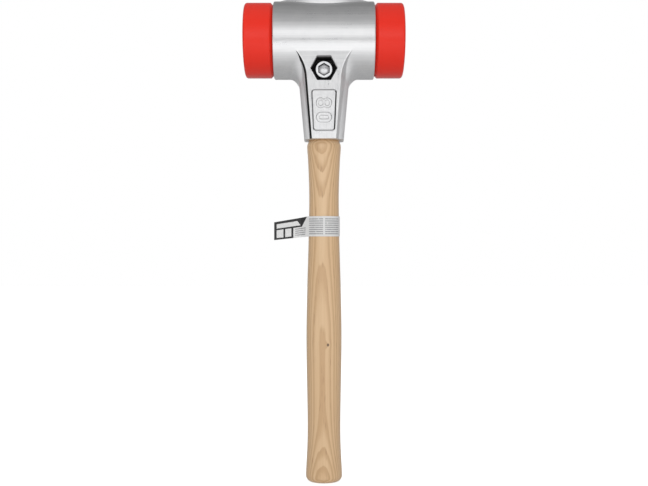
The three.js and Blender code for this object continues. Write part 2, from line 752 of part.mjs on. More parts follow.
const castHalf = housingHalf();
place('front_housing', castHalf, castMetal);
place('rear_housing', castHalf, castMetal).rotation.z = Math.PI;
place('right_face', solid(face()), redPlastic);
place('left_face', solid(face()), redPlastic).rotation.z = Math.PI;
place('handle', solid(handle()), ash);
place('handle_label', solid(label()), paper);
place('clamp_screw', screw(), zincSteel);
const washer = ring(-washerFace, WASHER_THICKNESS - washerFace, screwBore, washerRadius);
place('screw_washer', solid(washer), blackSteel);
place('clamp_nut', nut(), zincSteel);
place('nut_lock_ring', solid(ring(ringFoot, nutTop, screwBore, lockRingRadius)), nylon);

export default mallet;
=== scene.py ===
import math

import bmesh
import bpy
import numpy as np
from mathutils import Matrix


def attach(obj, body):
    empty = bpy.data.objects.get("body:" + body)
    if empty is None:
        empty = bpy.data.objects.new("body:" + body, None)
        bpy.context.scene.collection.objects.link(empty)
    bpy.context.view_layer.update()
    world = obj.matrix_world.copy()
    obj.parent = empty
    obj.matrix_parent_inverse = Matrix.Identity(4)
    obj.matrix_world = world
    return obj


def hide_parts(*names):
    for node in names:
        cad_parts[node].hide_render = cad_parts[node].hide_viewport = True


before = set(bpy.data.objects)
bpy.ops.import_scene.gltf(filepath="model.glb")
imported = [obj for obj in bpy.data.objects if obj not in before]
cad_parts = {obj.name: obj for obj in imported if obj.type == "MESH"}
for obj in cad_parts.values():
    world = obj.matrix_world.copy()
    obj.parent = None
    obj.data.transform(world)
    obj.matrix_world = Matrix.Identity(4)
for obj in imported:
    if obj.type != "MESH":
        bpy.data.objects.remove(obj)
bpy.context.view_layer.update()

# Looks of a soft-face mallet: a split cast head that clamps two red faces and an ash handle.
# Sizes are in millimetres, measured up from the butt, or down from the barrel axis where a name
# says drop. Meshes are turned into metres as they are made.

MM = 0.001
WELD = 0.0005

# Clearances
FIT_GAP = 0.3
SEAT_GAP = 0.1
WASHER_PLAY = 0.6
PARTING_GAP = 1.0

# Barrel of the head and the land along its top
BARREL_HEIGHT = 478
BARREL_HALF = 54
BARREL_RADIUS = 41.4
BARREL_EDGE = 1.5
NECK_FILLET = 11.5
LAND_HALF_LENGTH = 52
LAND_HALF_WIDTH = 22.7
LAND_RISE = 0.6
LAND_ROOT = 12
LAND_EDGE = 0.5

# Neck below the barrel
NECK_DROP = 108.4
NECK_WALL = 3.5
NECK_SPREAD = 0.182
NECK_TOP_DEPTH = 54
NECK_DEPTH_RUN = 75
NECK_TOP_DROP = 15
NECK_SQUARENESS = 3
NECK_BULGE = 1.1
NECK_SIDE_EDGE = 0.6

# Raised sloping panel on each half, its sunk frame and the raised figures
PANEL_MEET_DROP = 18
PANEL_HIDDEN_DROP = 5
PANEL_STAND = 3.7
PANEL_ROOT_REACH = 12
PANEL_END_WIDTH = 25.5
PANEL_SPREAD = 0.163
PANEL_FLARE_DROP = 44
PANEL_FLARE_RADIUS = 40
PANEL_DRAFT = math.radians(26)
PANEL_EDGE = 0.5
PANEL_FILLET = 0.5
FRAME_HEAD = 8.7
FRAME_FOOT = 7.4
FRAME_TOP_MARGIN = 3.3
FRAME_END_MARGIN = 1.6
FRAME_CORNER = 3.5
FRAME_DEPTH = 2.4
FRAME_DRAFT = 1.2
FRAME_SOFTENING = 0.5
FIGURE_HEIGHT = 16.3
FIGURE_WIDTH = 10.4
FIGURE_PITCH = 15
EIGHT_STROKE = 2.2
NOUGHT_STROKE = 3.2
FIGURE_RISE = 0.6
FIGURE_SLOPE = 0.8

# Clamp screw, washer and nut
SCREW_DROP = 36
SCREW_RADIUS = 6
SCREW_LENGTH = 40
SCREW_PITCH = 1.75
THREAD_DEPTH = 1.0
THREAD_START = 4
THREAD_STEEPNESS = 1.3
THREAD_CREST = 0.15
SCREW_HEAD_RADIUS = 9
SCREW_HEAD_HEIGHT = 12
SCREW_CHAMFER = 0.4
HEAD_ROUNDING = 0.3
HEAD_SEAT_ROUNDING = 0.2
KEY_ACROSS_FLATS = 10
KEY_DEPTH = 6
KEY_TURN = math.radians(30)
KEY_MOUTH = 12
KEY_FLARE = 1.2
KEY_POINT = 3.4
POINT_RADIUS = 4.9
POCKET_ACROSS_FLATS = 25.2
POCKET_FLOOR = 10.7
POCKET_WALL = 5
WASHER_THICKNESS = 2.5
NUT_HEIGHT = 12
NUT_CHAMFER = 1.2
LOCK_RING_WALL = 1.7
LOCK_RING_HEIGHT = 3
RING_ROUNDING = 0.3

# Striking faces
FACE_RADIUS = 40
FACE_HEAD_LENGTH = 30.9
FACE_RIM = 3
FACE_INNER_CHAMFER = 3
FACE_BACK_ROUNDING = 0.6
FACE_SIDE_ROUNDING = 1
SPIGOT_RADIUS = 28
SPIGOT_CHAMFER = 1.5
SPIGOT_END_ROUNDING = 0.3
SPIGOT_SIDE_ROUNDING = 0.5
SPIGOT_ROOT_FILLET = 0.8
BORE_CORNER = 1
WEB_HALF = 20
WEB_WALL = 8

# Ash handle: width along X at each height, and depth as a share of the width
HANDLE_DEPTH_RATIO = 0.78
BUTT_ROUNDING = 6.5
KNOB_LAND = 2
KNOB_WIDTH = 39.2
WAIST_HEIGHT = 57
WAIST_WIDTH = 35.6
SWELL_HEIGHT = 150
SWELL_WIDTH = 38.2
SHOULDER_DROP = 12
SHOULDER_WIDTH = 36.2
SHOULDER_EDGE_DROP = 5
SHOULDER_EDGE_WIDTH = 36.3
SHOULDER_TOP_WIDTH = 31.8
COLLAR_RUN = 11
COLLAR_WIDTH = 34.6
THROAT_RUN = 37
THROAT_WIDTH = 32.2
ENTRY_WIDTH = 35.2
TENON_TOP_WIDTH = 40
TENON_ROUNDING = 2

# Paper label round the handle, with its ends stuck together as a flag
LABEL_DROP = 104
LABEL_WIDTH = 21.7
PAPER_THICKNESS = 0.2
LABEL_JOIN = 8
FLAG_LENGTH = 29
FLAG_END_WIDTH = 19.4
FLAG_SLOPE = 0.17
FLAG_CURL = 1.5
FLAG_CURL_TURN = 0.8
FLAG_LAYER_OFFSET = 0.55

# Sizes that follow from the ones above
NECK_END = BARREL_HEIGHT - NECK_DROP
SCREW_HEIGHT = BARREL_HEIGHT - SCREW_DROP
NECK_END_WIDTH = ENTRY_WIDTH + 2 * (FIT_GAP + NECK_WALL)
NECK_END_DEPTH = ENTRY_WIDTH * HANDLE_DEPTH_RATIO + 2 * (FIT_GAP + NECK_WALL)
TENON_TOP = SCREW_HEIGHT - POCKET_ACROSS_FLATS / 2 - POCKET_WALL
SPIGOT_BORE = SPIGOT_RADIUS + FIT_GAP
SCREW_BORE = SCREW_RADIUS + FIT_GAP
WASHER_FACE = POCKET_FLOOR + SEAT_GAP + WASHER_THICKNESS
SCREW_SEAT = WASHER_FACE + SEAT_GAP
NUT_FOOT = POCKET_FLOOR + SEAT_GAP
LOCK_RING_RADIUS = SCREW_BORE + LOCK_RING_WALL
PANEL_MEET_REACH = math.sqrt(BARREL_RADIUS**2 - PANEL_MEET_DROP**2)
PANEL_END_REACH = NECK_END_DEPTH / 2 + PANEL_STAND
PANEL_SLOPE = (PANEL_MEET_REACH - PANEL_END_REACH) / (NECK_DROP - PANEL_MEET_DROP)
FRAME_TOP = SCREW_DROP + POCKET_ACROSS_FLATS / 2 + FRAME_HEAD
FRAME_END = NECK_DROP - FRAME_FOOT
FRAME_DROP = (FRAME_TOP + FRAME_END) / 2

# Finishes. Colours are linear, and sizes are in millimetres. A pattern gives its marks to the metre,
# its layers of detail and how strongly these count. A drawn-out pattern gives its marks along X, Y
# and Z, and its detail by itself. A polish gives the least roughness and what the pattern adds to
# it, and a relief its depth in metres and its strength.

# Cast aluminium, its rougher places, and painted shade on its walls and in its pocket
METAL_DARK = (0.70, 0.705, 0.715, 1)
METAL_LIGHT = (0.84, 0.84, 0.845, 1)
METAL_TONES = (0.3, 0.7)
METAL_MOTTLE = (90, 3)
METAL_GRAIN = (2600, 2)
METAL_POLISH = (0.2, 0.2)
METAL_RELIEF = (0.0001, 0.3)
BARREL_SCRATCH = (10, 650, 650)
NECK_SCRATCH = (500, 500, 12)
SCRATCH_DETAIL = (4, 0.6)
BARREL_SCRATCH_END = (26, 42)
SCRATCH_IN_TONE = 0.7
SCRATCH_IN_RELIEF = 0.6
SKIN_ROUGHNESS = 0.25
FLANK_UNDER_PANEL = (1.5, 3.5)
# Painted light and shade on the sunk frame's walls, one tone for each side
FRAME_LEFT_WALL_SHADING = (0.32, 0.32, 0.325, 1)
FRAME_RIGHT_WALL_SHADING = (0.03, 0.03, 0.031, 1)
FRAME_TOP_WALL_SHADING = (0.66, 0.66, 0.665, 1)
FRAME_FOOT_WALL_SHADING = (0.72, 0.72, 0.725, 1)
FRAME_SHADING_START = 0.2 * FRAME_DRAFT
FRAME_SHADING_END = 1.4 * FRAME_DRAFT
# Painted black shade along the front panel's left wall
BLACK_WALL_SHADE = (0.012, 0.012, 0.012, 1)
WALL_SHADE_THICKNESS = (0.25, 0.5)
WALL_SHADE_START = (0.1, 0.5)
WALL_SHADE_WIDTH = 2.1
WALL_SHADE_FADE = 0.5
# Painted shade in the screw pocket: pale at its mouth, black deep inside
POCKET_MOUTH = (0.72, 0.72, 0.725, 1)
POCKET_SHADE_BLACK = (0.05, 0.048, 0.047, 1)
POCKET_SHADE_DEPTH = 13
POCKET_EDGE_FADE = 0.2

# Red plastic
RED_DEEP = (0.71, 0.018, 0.006, 1)
RED_BRIGHT = (0.78, 0.025, 0.010, 1)
RED_HAZE = (9, 1)
RED_GRAIN = (1500, 2)
RED_POLISH = (0.26, 0.06)
RED_RELIEF = (0.00006, 0.08)
RED_SHEEN = 0.33

# Lacquered ash
WOOD_WARM = (0.58, 0.385, 0.205, 1)
WOOD_PALE = (0.70, 0.495, 0.295, 1)
WOOD_STREAK = (0.56, 0.36, 0.185, 1)
WOOD_EARLY = (0.45, 0.262, 0.118, 1)
WOOD_DARK = (0.30, 0.16, 0.07, 1)
KNOT_DARK = (0.11, 0.055, 0.025, 1)
WOOD_WANDER = (18, 18, 5)
WOOD_RIPPLE = (160, 160, 9)
WOOD_FIBRE = (420, 420, 7)
FIBRE_DETAIL = (5, 0.65)
WOOD_PATCH = (40, 40, 6)
WOOD_PORE = (1500, 1500, 70)
PORE_DETAIL = (1, 0.5)
WANDER_REACH = 1.5
RIPPLE_REACH = 0.7
RING_SPACING = 1.35
EARLY_WOOD_BEGINS = (0.0, 0.08)
EARLY_WOOD_FADES = (0.2, 0.75)
EARLY_WOOD_SHARE = 0.62
STREAK_LIMITS = (0.3, 0.75)
STREAK_SHARE = 0.6
PORE_LIMITS = (0.6, 0.72)
PORE_SHARE = 0.6
PORES_EVERYWHERE = 0.12
PORES_IN_EARLY_WOOD = 0.8
PITH_BESIDE = 4
PITH_LEAN = 0.007
PITH_BEHIND = 58.15
PITH_NEAREST = 195
PITH_BOW = 0.000086
PIN_KNOT = (4.3, 149.4)
KNOT_RADIUS = 1.7
KNOT_HEART = 0.4 * KNOT_RADIUS
KNOT_STRETCH = 1.3
KNOT_BEND = 0.5
KNOT_BEND_REACH = 5
FIBRE_IN_RELIEF = 0.3
WOOD_POLISH = (0.42, 0.2)
WOOD_RELIEF = (0.0001, 0.3)
LACQUER_WEIGHT = 0.9
LACQUER_ROUGHNESS = 0.3

# Zinc plate, the marks of turning, and painted shade in the key socket
ZINC_DARK = (0.60, 0.61, 0.63, 1)
ZINC_LIGHT = (0.76, 0.76, 0.765, 1)
ZINC_TONES = (0.3, 0.7)
ZINC_BLOOM = (260, 3)
ZINC_POLISH = (0.17, 0.14)
# Painted shade in the key socket: a dark line along its rim and grey round its floor
SOCKET_RIM_SHADE = (0.10, 0.10, 0.105, 1)
SOCKET_RIM_DEPTHS = (0.1, 3.0)
SOCKET_RIM_RADII = (0.9 * KEY_ACROSS_FLATS / 2, 1.5 * KEY_ACROSS_FLATS / 2)
SOCKET_FLOOR_SHADE = (0.40, 0.40, 0.41, 1)
SOCKET_FLOOR_SHADE_FROM = (2.6, 4.2)
SOCKET_FLOOR_SHADE_DEPTH = 4.5
SOCKET_REACH = 1.2 * KEY_ACROSS_FLATS / 2
TURNING_RINGS_PER_MM = 2.5
TURNING_RELIEF = (0.00004, 0.3)

# Black oxide and nylon
OXIDE_DARK = (0.018, 0.018, 0.019, 1)
OXIDE_LIGHT = (0.04, 0.04, 0.041, 1)
OXIDE_BLOOM = (300, 3)
OXIDE_POLISH = (0.4, 0.2)
NYLON_DARK = (0.72, 0.69, 0.60, 1)
NYLON_LIGHT = (0.84, 0.82, 0.75, 1)
NYLON_CLOUD = (400, 3)
NYLON_POLISH = (0.4, 0.15)
NYLON_RELIEF = (0.00005, 0.2)

# Print on the label: runs along the strip from the flag's tip, and shares of its height.
# The breaks in the bars are counted to the millimetre.
PAPER_DARK = (0.60, 0.60, 0.60, 1)
PAPER_LIGHT = (0.68, 0.68, 0.675, 1)
PAPER_FIBRE = (700, 3)
PAPER_POLISH = (0.4, 0.15)
PAPER_RELIEF = (0.00005, 0.15)
PRINT_BLACK = (0.012, 0.012, 0.013, 1)
END_BAND = 2.7
TOP_BAND = 0.86
MIDDLE_BAND = (0.53, 0.62)
FOOT_BAND = 0.1
BOX_POSTS = ((10.0, 12.0), (18.6, 20.8))
BOXES_END = BOX_POSTS[-1][1]
WEDGE_MIDDLE = 30.2
WEDGE_FOOT = 0.52
WEDGE_SLOPE = 0.067
BAR_GREY = (0.16, 0.16, 0.17, 1)
BAR_STRENGTH = 0.75
BAR_PITCH = 0.105
BAR_SHARE = 0.5
BAR_BREAKS = (0.56, 3, 0.8)
BREAK_LIMITS = (0.34, 0.46)
BAR_COLUMNS = ((40.0, 57.0), (59.0, 76.0), (90.0, 112.0))
BAR_COLUMN_LIMITS = (0.1, 0.94)
FLAG_COLUMN = (22.8, 35.5)
FLAG_COLUMN_LIMITS = (0.06, 0.48)

# Stage, in metres, with the camera's sensor and lens in millimetres; brightness 1 is white
FLOOR_REACH = (2.1, 4.0, 4.0)
FLOOR_DARK = (0.86, 0.86, 0.86, 1)
FLOOR_LIGHT = (0.88, 0.88, 0.88, 1)
FLOOR_CLOUD = (3, 2)
FLOOR_ROUGHNESS = 0.8
FLOOR_LIFT = 0.7
# Painted glow that metal sees on the floor: where it falls off, and its brightness in front and behind
FLOOR_FALL = (-0.95, 0.12)
FLOOR_FRONT = 1.36
FLOOR_BEHIND = 0.52
KEY_LAMP_PLACE = (0, -1.75, 0.45)
KEY_LAMP_TARGET = (0, 0, 0.42)
KEY_LAMP_SIZE = (2.6, 0.85)
KEY_LAMP_TONE = 2.05
TOP_LAMP_PLACE = (0, -0.1, 2.2)
TOP_LAMP_TARGET = (0, 0, 0)
TOP_LAMP_SIZE = (2.4, 2.4)
TOP_LAMP_TONE = 0.6
CAMERA_PLACE = (0, -0.9, 0.2585)
SENSOR_WIDTH = 36
LENS_LENGTH = 46

# Brightness of the room seen from the head, by the angle over the viewer's horizon, in degrees:
# floor edge, front wall, ceiling, and the white backdrop behind
ROOM_BY_ANGLE = (
    (-90, 0.25), (-7, 0.25), (-2, 1.2), (16, 1.3), (24, 1.0), (37, 0.60),
    (50, 0.48), (86, 0.34), (122, 0.25), (142, 0.30), (154, 0.55), (163, 1.0), (180, 1.0),
)
ROOM_LEFT = 0.48
ROOM_RIGHT = 0.50
ROOM_ACROSS = (-0.4, 0.4)
ROOM_CORNER = (0.35, 0.85)

# Fineness of the meshes
BORE_SIDES = 128
SCREW_SIDES = 96
OVAL_SIDES = 112
LAND_STEPS = 64
FIGURE_SIDES = 96
ARC_STEPS = 6
OUTLINE_STEPS = 16
FLAG_STEPS = 24
THREAD_STEPS = 10
HALVINGS = 40
COSINE_DIGITS = 6
OVERCUT = 2

# Rows and columns of the casting's skin. Columns follow the panel's edge, its wall, the neck's
# outline and the barrel's rounded end, so that each form has points along it.
UPPER_ANGLE = math.radians(100)
UPPER_ROWS = 48
LOWER_ROWS = 100
NECK_ROWS = 110
NECK_ROW_CROWDING = 1.2
PANEL_COLUMNS = 30
WALL_COLUMNS = 14
WALL_BAND = 4.8
WALL_LIMIT = 32.5
FLANK_COLUMNS = 14
INNER_COLUMNS = (PANEL_COLUMNS, WALL_COLUMNS, FLANK_COLUMNS)
OUTER_COLUMNS = 10
EDGE_COLUMNS = 5
FILLET_STEP = 0.02

# Edges that turn by fewer degrees than these are shaded smooth
CASTING_CREASE = 32
FACE_CREASE = 40
HANDLE_CREASE = 50
SCREW_CREASE = 35
RING_CREASE = 40
NUT_CREASE = 25
LABEL_CREASE = 40


def new_object(name, mesh):
    """Puts a mesh, a lamp or a camera into the scene."""
    piece = bpy.data.objects.new(name, mesh)
    bpy.context.scene.collection.objects.link(piece)
    return piece


def grid_faces(number):
    """Quads over a grid of point numbers, rows by columns."""
    corners = (number[:-1, :-1], number[:-1, 1:], number[1:, 1:], number[1:, :-1])
    return np.stack(corners, axis=-1).reshape(-1, 4)


def shell(name, *grids):
    """One closed object from grids of points, rows by columns, welded where their edges meet."""
    points = np.concatenate([grid.reshape(-1, 3) for grid in grids])
    counts = [grid.shape[0] * grid.shape[1] for grid in grids]
    numbers = np.split(np.arange(len(points)), np.cumsum(counts)[:-1])
    faces = [grid_faces(number.reshape(grid.shape[:2])) for grid, number in zip(grids, numbers)]
    mesh = bpy.data.meshes.new(name)
    mesh.from_pydata(points * MM, [], np.concatenate(faces))
    work = bmesh.new()
    work.from_mesh(mesh)
    bmesh.ops.remove_doubles(work, verts=work.verts, dist=WELD * MM)
    bmesh.ops.recalc_face_normals(work, faces=work.faces)
    work.to_mesh(mesh)
    work.free()
    return new_object(name, mesh)


def carve(body, tool, operation):
    """Joins a closed tool to a body, or cuts it away, and removes the tool."""
    step = body.modifiers.new("carve", "BOOLEAN")
    step.operation = operation
    step.solver = "MANIFOLD"
    step.object = tool
    graph = bpy.context.evaluated_depsgraph_get()
    body_mesh = bpy.data.meshes.new_from_object(body.evaluated_get(graph))
    body.modifiers.clear()
    body.data = body_mesh
    bpy.data.objects.remove(tool)


def soften(piece, degrees):
    """Smooth shading over every edge that turns by less than the given angle."""
    piece.data.shade_smooth()
    piece.data.set_sharp_from_angle(angle=math.radians(degrees))


def rounded(corners, closed=False):
    """Straight runs between corners given as [a, b, radius], each turned on an arc of its radius.

    An arc touches both runs, so it starts radius / tan(half the corner's angle) from the corner,
    and its points swing evenly about a centre on the corner's bisector.
    """
    spots = np.array([corner[:2] for corner in corners], float)
    swing = np.linspace(0, 1, ARC_STEPS + 1)[:, None]
    outline = []
    for k, (*_, radius) in enumerate(corners):
        ends = not closed and k in (0, len(corners) - 1)
        if ends or radius == 0:
            outline.append(spots[k : k + 1])
            continue
        back = spots[k - 1] - spots[k]
        ahead = spots[(k + 1) % len(spots)] - spots[k]
        back /= np.linalg.norm(back)
        ahead /= np.linalg.norm(ahead)
        half = math.acos(np.clip(back @ ahead, -1, 1)) / 2
        bisector = (back + ahead) / np.linalg.norm(back + ahead)
        centre = spots[k] + bisector * radius / math.sin(half)
        first = spots[k] + back * radius / math.tan(half) - centre
        last = spots[k] + ahead * radius / math.tan(half) - centre
        turn = math.pi - 2 * half
        blend = np.sin((1 - swing) * turn) * first + np.sin(swing * turn) * last
        outline.append(centre + blend / math.sin(turn))
    if closed:
        outline.append(outline[0][:1])
    return np.concatenate(outline)


def about_axis(along, radius, angle, axis, height):
    """Points at a radius and an angle about a level axis at the height, each row along it."""
    out = radius * np.cos(angle)
    up = radius * np.sin(angle) + height
    along = np.broadcast_to(along, out.shape)
    return np.stack((along, out, up) if axis == "x" else (out, along, up), axis=-1)


def turned(profile, sides, axis, height):
    """Turned work: each profile point [along, radius] goes round a level axis at the height."""
    along, radius = np.asarray(profile, float).T[:, :, None]
    return about_axis(along, radius, np.linspace(0, 2 * np.pi, sides + 1), axis, height)


def turned_on_barrel(name, profile):
    """Turned work on the barrel's axis, along X."""
    return shell(name, turned(profile, BORE_SIDES, "x", BARREL_HEIGHT))


def turned_on_screw(name, profile):
    """Turned work on the screw's axis, along Y."""
    return shell(name, turned(profile, SCREW_SIDES, "y", SCREW_HEIGHT))


def stack(rings):
    """Rings of equal count, one above the other, each end drawn in to its own centre."""
    rings = np.asarray(rings)
    foot = np.broadcast_to(rings[:1].mean(axis=1, keepdims=True), rings[:1].shape)
    head = np.broadcast_to(rings[-1:].mean(axis=1, keepdims=True), rings[-1:].shape)
    return np.concatenate([foot, rings, head])


def oval(half_x, half_y, height):
    """A level ellipse: the two half widths times the angle's cosine and sine."""
    angle = np.linspace(0, 2 * np.pi, OVAL_SIDES + 1)
    level = np.full_like(angle, height)
    return np.stack([half_x * np.cos(angle), half_y * np.sin(angle), level], axis=-1)


def hexagon_radius(across_flats, angle):
    """Distance from a hexagon's centre to its side, with two flats level."""
    off_flat = (angle % (np.pi / 3)) - np.pi / 6
    return across_flats / 2 / np.cos(off_flat)


def hexagon_rod(name, sections, turn=0):
    """A rod along Y on the screw's axis through hexagons given as [y, across flats].

    Before it is turned, two flats are level.
    """
    angle = np.linspace(0, 2 * np.pi, 6 + 1) + turn
    circle = np.stack([np.cos(angle), 0 * angle, np.sin(angle)], axis=-1)
    rings = [
        circle * across_flats / math.sqrt(3) + [0, y, SCREW_HEIGHT]
        for y, across_flats in sections
    ]
    return shell(name, stack(rings))


# The casting's outer form, as how far a point lies outside it


def round_union(a, b, radius):
    """Two forms joined with a fillet of the radius in the corner between them.

    It is the nearer of the two distances. Closer than the radius to both, it is the radius less
    the long side of the right-angled triangle of what each distance lacks of it.
    """
    corner = np.hypot(np.maximum(radius - a, 0), np.maximum(radius - b, 0))
    return np.maximum(radius, np.minimum(a, b)) - corner


def round_overlap(a, b, radius):
    """What two forms share, with the edge between them rounded to the radius.

    It is the further of the two distances, rounded as a fillet is, from the inside.
    """
    corner = np.hypot(np.maximum(radius + a, 0), np.maximum(radius + b, 0))
    return np.minimum(-radius, np.maximum(a, b)) + corner


def barrel_radius(x):
    """The barrel's radius at a place along it: constant, then falling on a quarter circle."""
    into = np.clip(np.abs(x) - (BARREL_HALF - BARREL_EDGE), 0, BARREL_EDGE)
    return BARREL_RADIUS - BARREL_EDGE + np.sqrt(BARREL_EDGE**2 - into**2)


def neck_gap(x, depth, drop):
    """Distance from a neck that widens upwards: a rounded section cut off flat at its sides.

    Inside the section, the shares of the half width and half depth, each raised to the power of
    the squareness, add up to less than 1. The depth grows up the neck with a quarter sine wave.
    """
    share = np.clip((NECK_DROP - drop) / NECK_DEPTH_RUN, 0, 1)
    growth = (NECK_TOP_DEPTH - NECK_END_DEPTH) * np.sin(share * np.pi / 2)
    half_depth = (NECK_END_DEPTH + growth) / 2
    half_width = (NECK_END_WIDTH + NECK_SPREAD * (NECK_DROP - drop)) / 2
    across = np.abs(x) / (half_width * NECK_BULGE)
    sides = across**NECK_SQUARENESS + (depth / half_depth) ** NECK_SQUARENESS
    reach = np.maximum(sides ** (1 / NECK_SQUARENESS), WELD)
    rounded_section = np.hypot(x, depth) * (1 - 1 / reach)
    section = round_overlap(rounded_section, np.abs(x) - half_width, NECK_SIDE_EDGE)
    return np.maximum(section, NECK_TOP_DROP - drop)


def panel_reach(drop):
    """How far the panel's face stands out: a straight slope down from where it meets the barrel."""
    return PANEL_MEET_REACH - PANEL_SLOPE * (drop - PANEL_MEET_DROP)


def panel_half_width(drop):
    """Half the panel's width: a straight taper that flares on an arc towards the barrel."""
    rise = np.clip(PANEL_FLARE_DROP - drop, 0, PANEL_FLARE_RADIUS)
    flare = PANEL_FLARE_RADIUS - np.sqrt(PANEL_FLARE_RADIUS**2 - rise**2)
    return (PANEL_END_WIDTH + PANEL_SPREAD * (NECK_DROP - drop)) / 2 + flare


def panel_gap(x, depth, drop):
    """Distance from the panel: under its sloping face and between its drafted walls."""
    under = panel_reach(drop) - depth
    face = -under * math.cos(math.atan(PANEL_SLOPE))
    wall = np.abs(x) - panel_half_width(drop) - under * math.tan(PANEL_DRAFT)
    ends = np.maximum(PANEL_ROOT_REACH - depth, PANEL_HIDDEN_DROP - drop)
    return round_overlap(np.maximum(wall * math.cos(PANEL_DRAFT), ends), face, PANEL_EDGE)


def casting_gap(x, depth, drop):
    """Distance from the barrel joined to the neck with a large fillet, and to the panel."""
    barrel = np.hypot(depth, drop) - barrel_radius(x)
    body = round_union(barrel, neck_gap(x, depth, drop), NECK_FILLET)
    return round_union(body, panel_gap(x, depth, drop), PANEL_FILLET)


def last_inside(gap, start, end):
    """The greatest value at which a growing gap is still negative, by halving the interval."""
    low, high = np.array(start, float), np.array(end, float)
    for _ in range(HALVINGS):
        middle = (low + high) / 2
        inside = gap(middle) < 0
        low = np.where(inside, middle, low)
        high = np.where(inside, high, middle)
    return low


def outline_half_width(drop):
    """Half the casting's width where it is parted, at each drop."""
    return last_inside(lambda x: casting_gap(x, 0, drop), 0 * drop, 0 * drop + BARREL_HALF)


def front_depth(x, drop):
    """How far the casting stands out at each place, or nothing beside it."""
    depth = last_inside(lambda y: casting_gap(x, y, drop), 0 * x, 0 * x + 2 * BARREL_RADIUS)
    return np.where(casting_gap(x, WELD, drop) < 0, depth, 0)


def mirrored(right):
    """Columns from the middle outwards, repeated on the left."""
    return np.concatenate([-right[:, :0:-1], right], axis=1)


def between(limits, counts):
    """Columns spread evenly between each row's limits, so many to each stretch."""
    stretches = [
        limits[:, k : k + 1] + (limits[:, k + 1 : k + 2] - limits[:, k : k + 1]) * share
        for k, count in enumerate(counts)
        for share in [np.linspace(0, 1, count, endpoint=False)]
    ]
    return np.concatenate(stretches + [limits[:, -1:]], axis=1)


def inner_limits(drop, outer):
    """Where each row's stretches of columns end: the middle, the panel, its wall and the outline."""
    edge = np.minimum(panel_half_width(np.maximum(drop, PANEL_MEET_DROP)), WALL_LIMIT)
    return np.stack([0 * drop, edge, edge + WALL_BAND, outer], axis=1)


def barrel_skin(fillet_half):
    """The barrel's front: rows go round it by angle, with columns out to its rounded ends."""
    angle = np.concatenate([
        np.linspace(0, UPPER_ANGLE, UPPER_ROWS, endpoint=False),
        np.linspace(UPPER_ANGLE, np.pi, LOWER_ROWS),
    ])
    middle_drop = -BARREL_RADIUS * np.cos(angle)
    neck_side = inner_limits(middle_drop, 0 * middle_drop + fillet_half)
    right = between(neck_side, INNER_COLUMNS)
    swing = np.linspace(0, np.pi / 2, EDGE_COLUMNS + 1)
    edge = BARREL_HALF - BARREL_EDGE * (1 - np.sin(swing))
    outer = np.linspace(fillet_half, edge[0], OUTER_COLUMNS, endpoint=False)[1:]
    beyond = np.tile(np.concatenate([outer, edge]), (len(angle), 1))
    x = mirrored(np.concatenate([right, beyond], axis=1))
    drop = -barrel_radius(x) * np.cos(angle)[:, None]
    depth = front_depth(x, drop)
    depth[0] = 0
    depth[-1, np.abs(x[-1]) >= fillet_half] = 0
    return np.stack([x, -depth, BARREL_HEIGHT - drop], axis=-1)


def neck_skin():
    """The neck's front: rows go down it, crowded under the barrel, from outline to outline."""
    share = np.linspace(0, 1, NECK_ROWS + 1)[1:] ** NECK_ROW_CROWDING
    row_drop = BARREL_RADIUS + FILLET_STEP + (NECK_DROP - BARREL_RADIUS - FILLET_STEP) * share
    x = mirrored(between(inner_limits(row_drop, outline_half_width(row_drop)), INNER_COLUMNS))
    drop = np.broadcast_to(row_drop[:, None], x.shape)
    depth = front_depth(x, drop)
    depth[:, [0, -1]] = 0
    return np.stack([x, -depth, BARREL_HEIGHT - drop], axis=-1)


def casting_skin():
    """The front of the casting, closed by a flat back.

    Each point's depth is where its line towards the viewer leaves the joined barrel, neck and
    panel. The neck hangs from the barrel's last row, between the fillets' ends.
    """
    fillet_half = float(outline_half_width(np.array([BARREL_RADIUS + FILLET_STEP]))[0])
    barrel = barrel_skin(fillet_half)
    first = OUTER_COLUMNS + EDGE_COLUMNS
    neck = np.concatenate([barrel[-1:, first:-first], neck_skin()])
    flat = np.array([1, 0, 1])
    strips = [np.stack([barrel[:, k], barrel[:, k] * flat], axis=1) for k in (0, -1)]
    foot = np.stack([neck[-1], neck[-1] * flat])
    return shell("front_casting", barrel, neck, barrel * flat, neck * flat, foot, *strips)


def top_land():
    """A lens between two arcs, raised straight up with a rounded top edge."""
    radius = (LAND_HALF_LENGTH**2 + LAND_HALF_WIDTH**2) / (2 * LAND_HALF_WIDTH)
    reach = math.asin(LAND_HALF_LENGTH / radius)
    swing = np.linspace(-reach, reach, LAND_STEPS)
    arc = np.stack([radius * np.sin(swing), LAND_HALF_WIDTH - radius * (1 - np.cos(swing))], -1)
    outline = np.concatenate([arc, -arc[1:]])
    quarter = np.linspace(0, np.pi / 2, ARC_STEPS)
    inset = np.concatenate([[0], LAND_EDGE * (1 - np.cos(quarter))])
    top = BARREL_HEIGHT + BARREL_RADIUS + LAND_RISE
    rise = np.sin(quarter) - 1
    level = np.concatenate([[top - LAND_RISE - LAND_ROOT], top + LAND_EDGE * rise])
    rings = [
        np.column_stack([outline * (1 - shrink / LAND_HALF_WIDTH), np.full(len(outline), z)])
        for shrink, z in zip(inset, level)
    ]
    return shell("top_land", stack(rings))


def on_panel(flat):
    """Lays points drawn as [across, up, out] on the panel, about the frame's centre."""
    lean = math.atan(PANEL_SLOPE)
    across, up, out = np.moveaxis(flat, -1, 0)
    y = -panel_reach(FRAME_DROP) - up * math.sin(lean) - out * math.cos(lean)
    z = BARREL_HEIGHT - FRAME_DROP + up * math.cos(lean) - out * math.sin(lean)
    return np.stack([across, y, z], axis=-1)


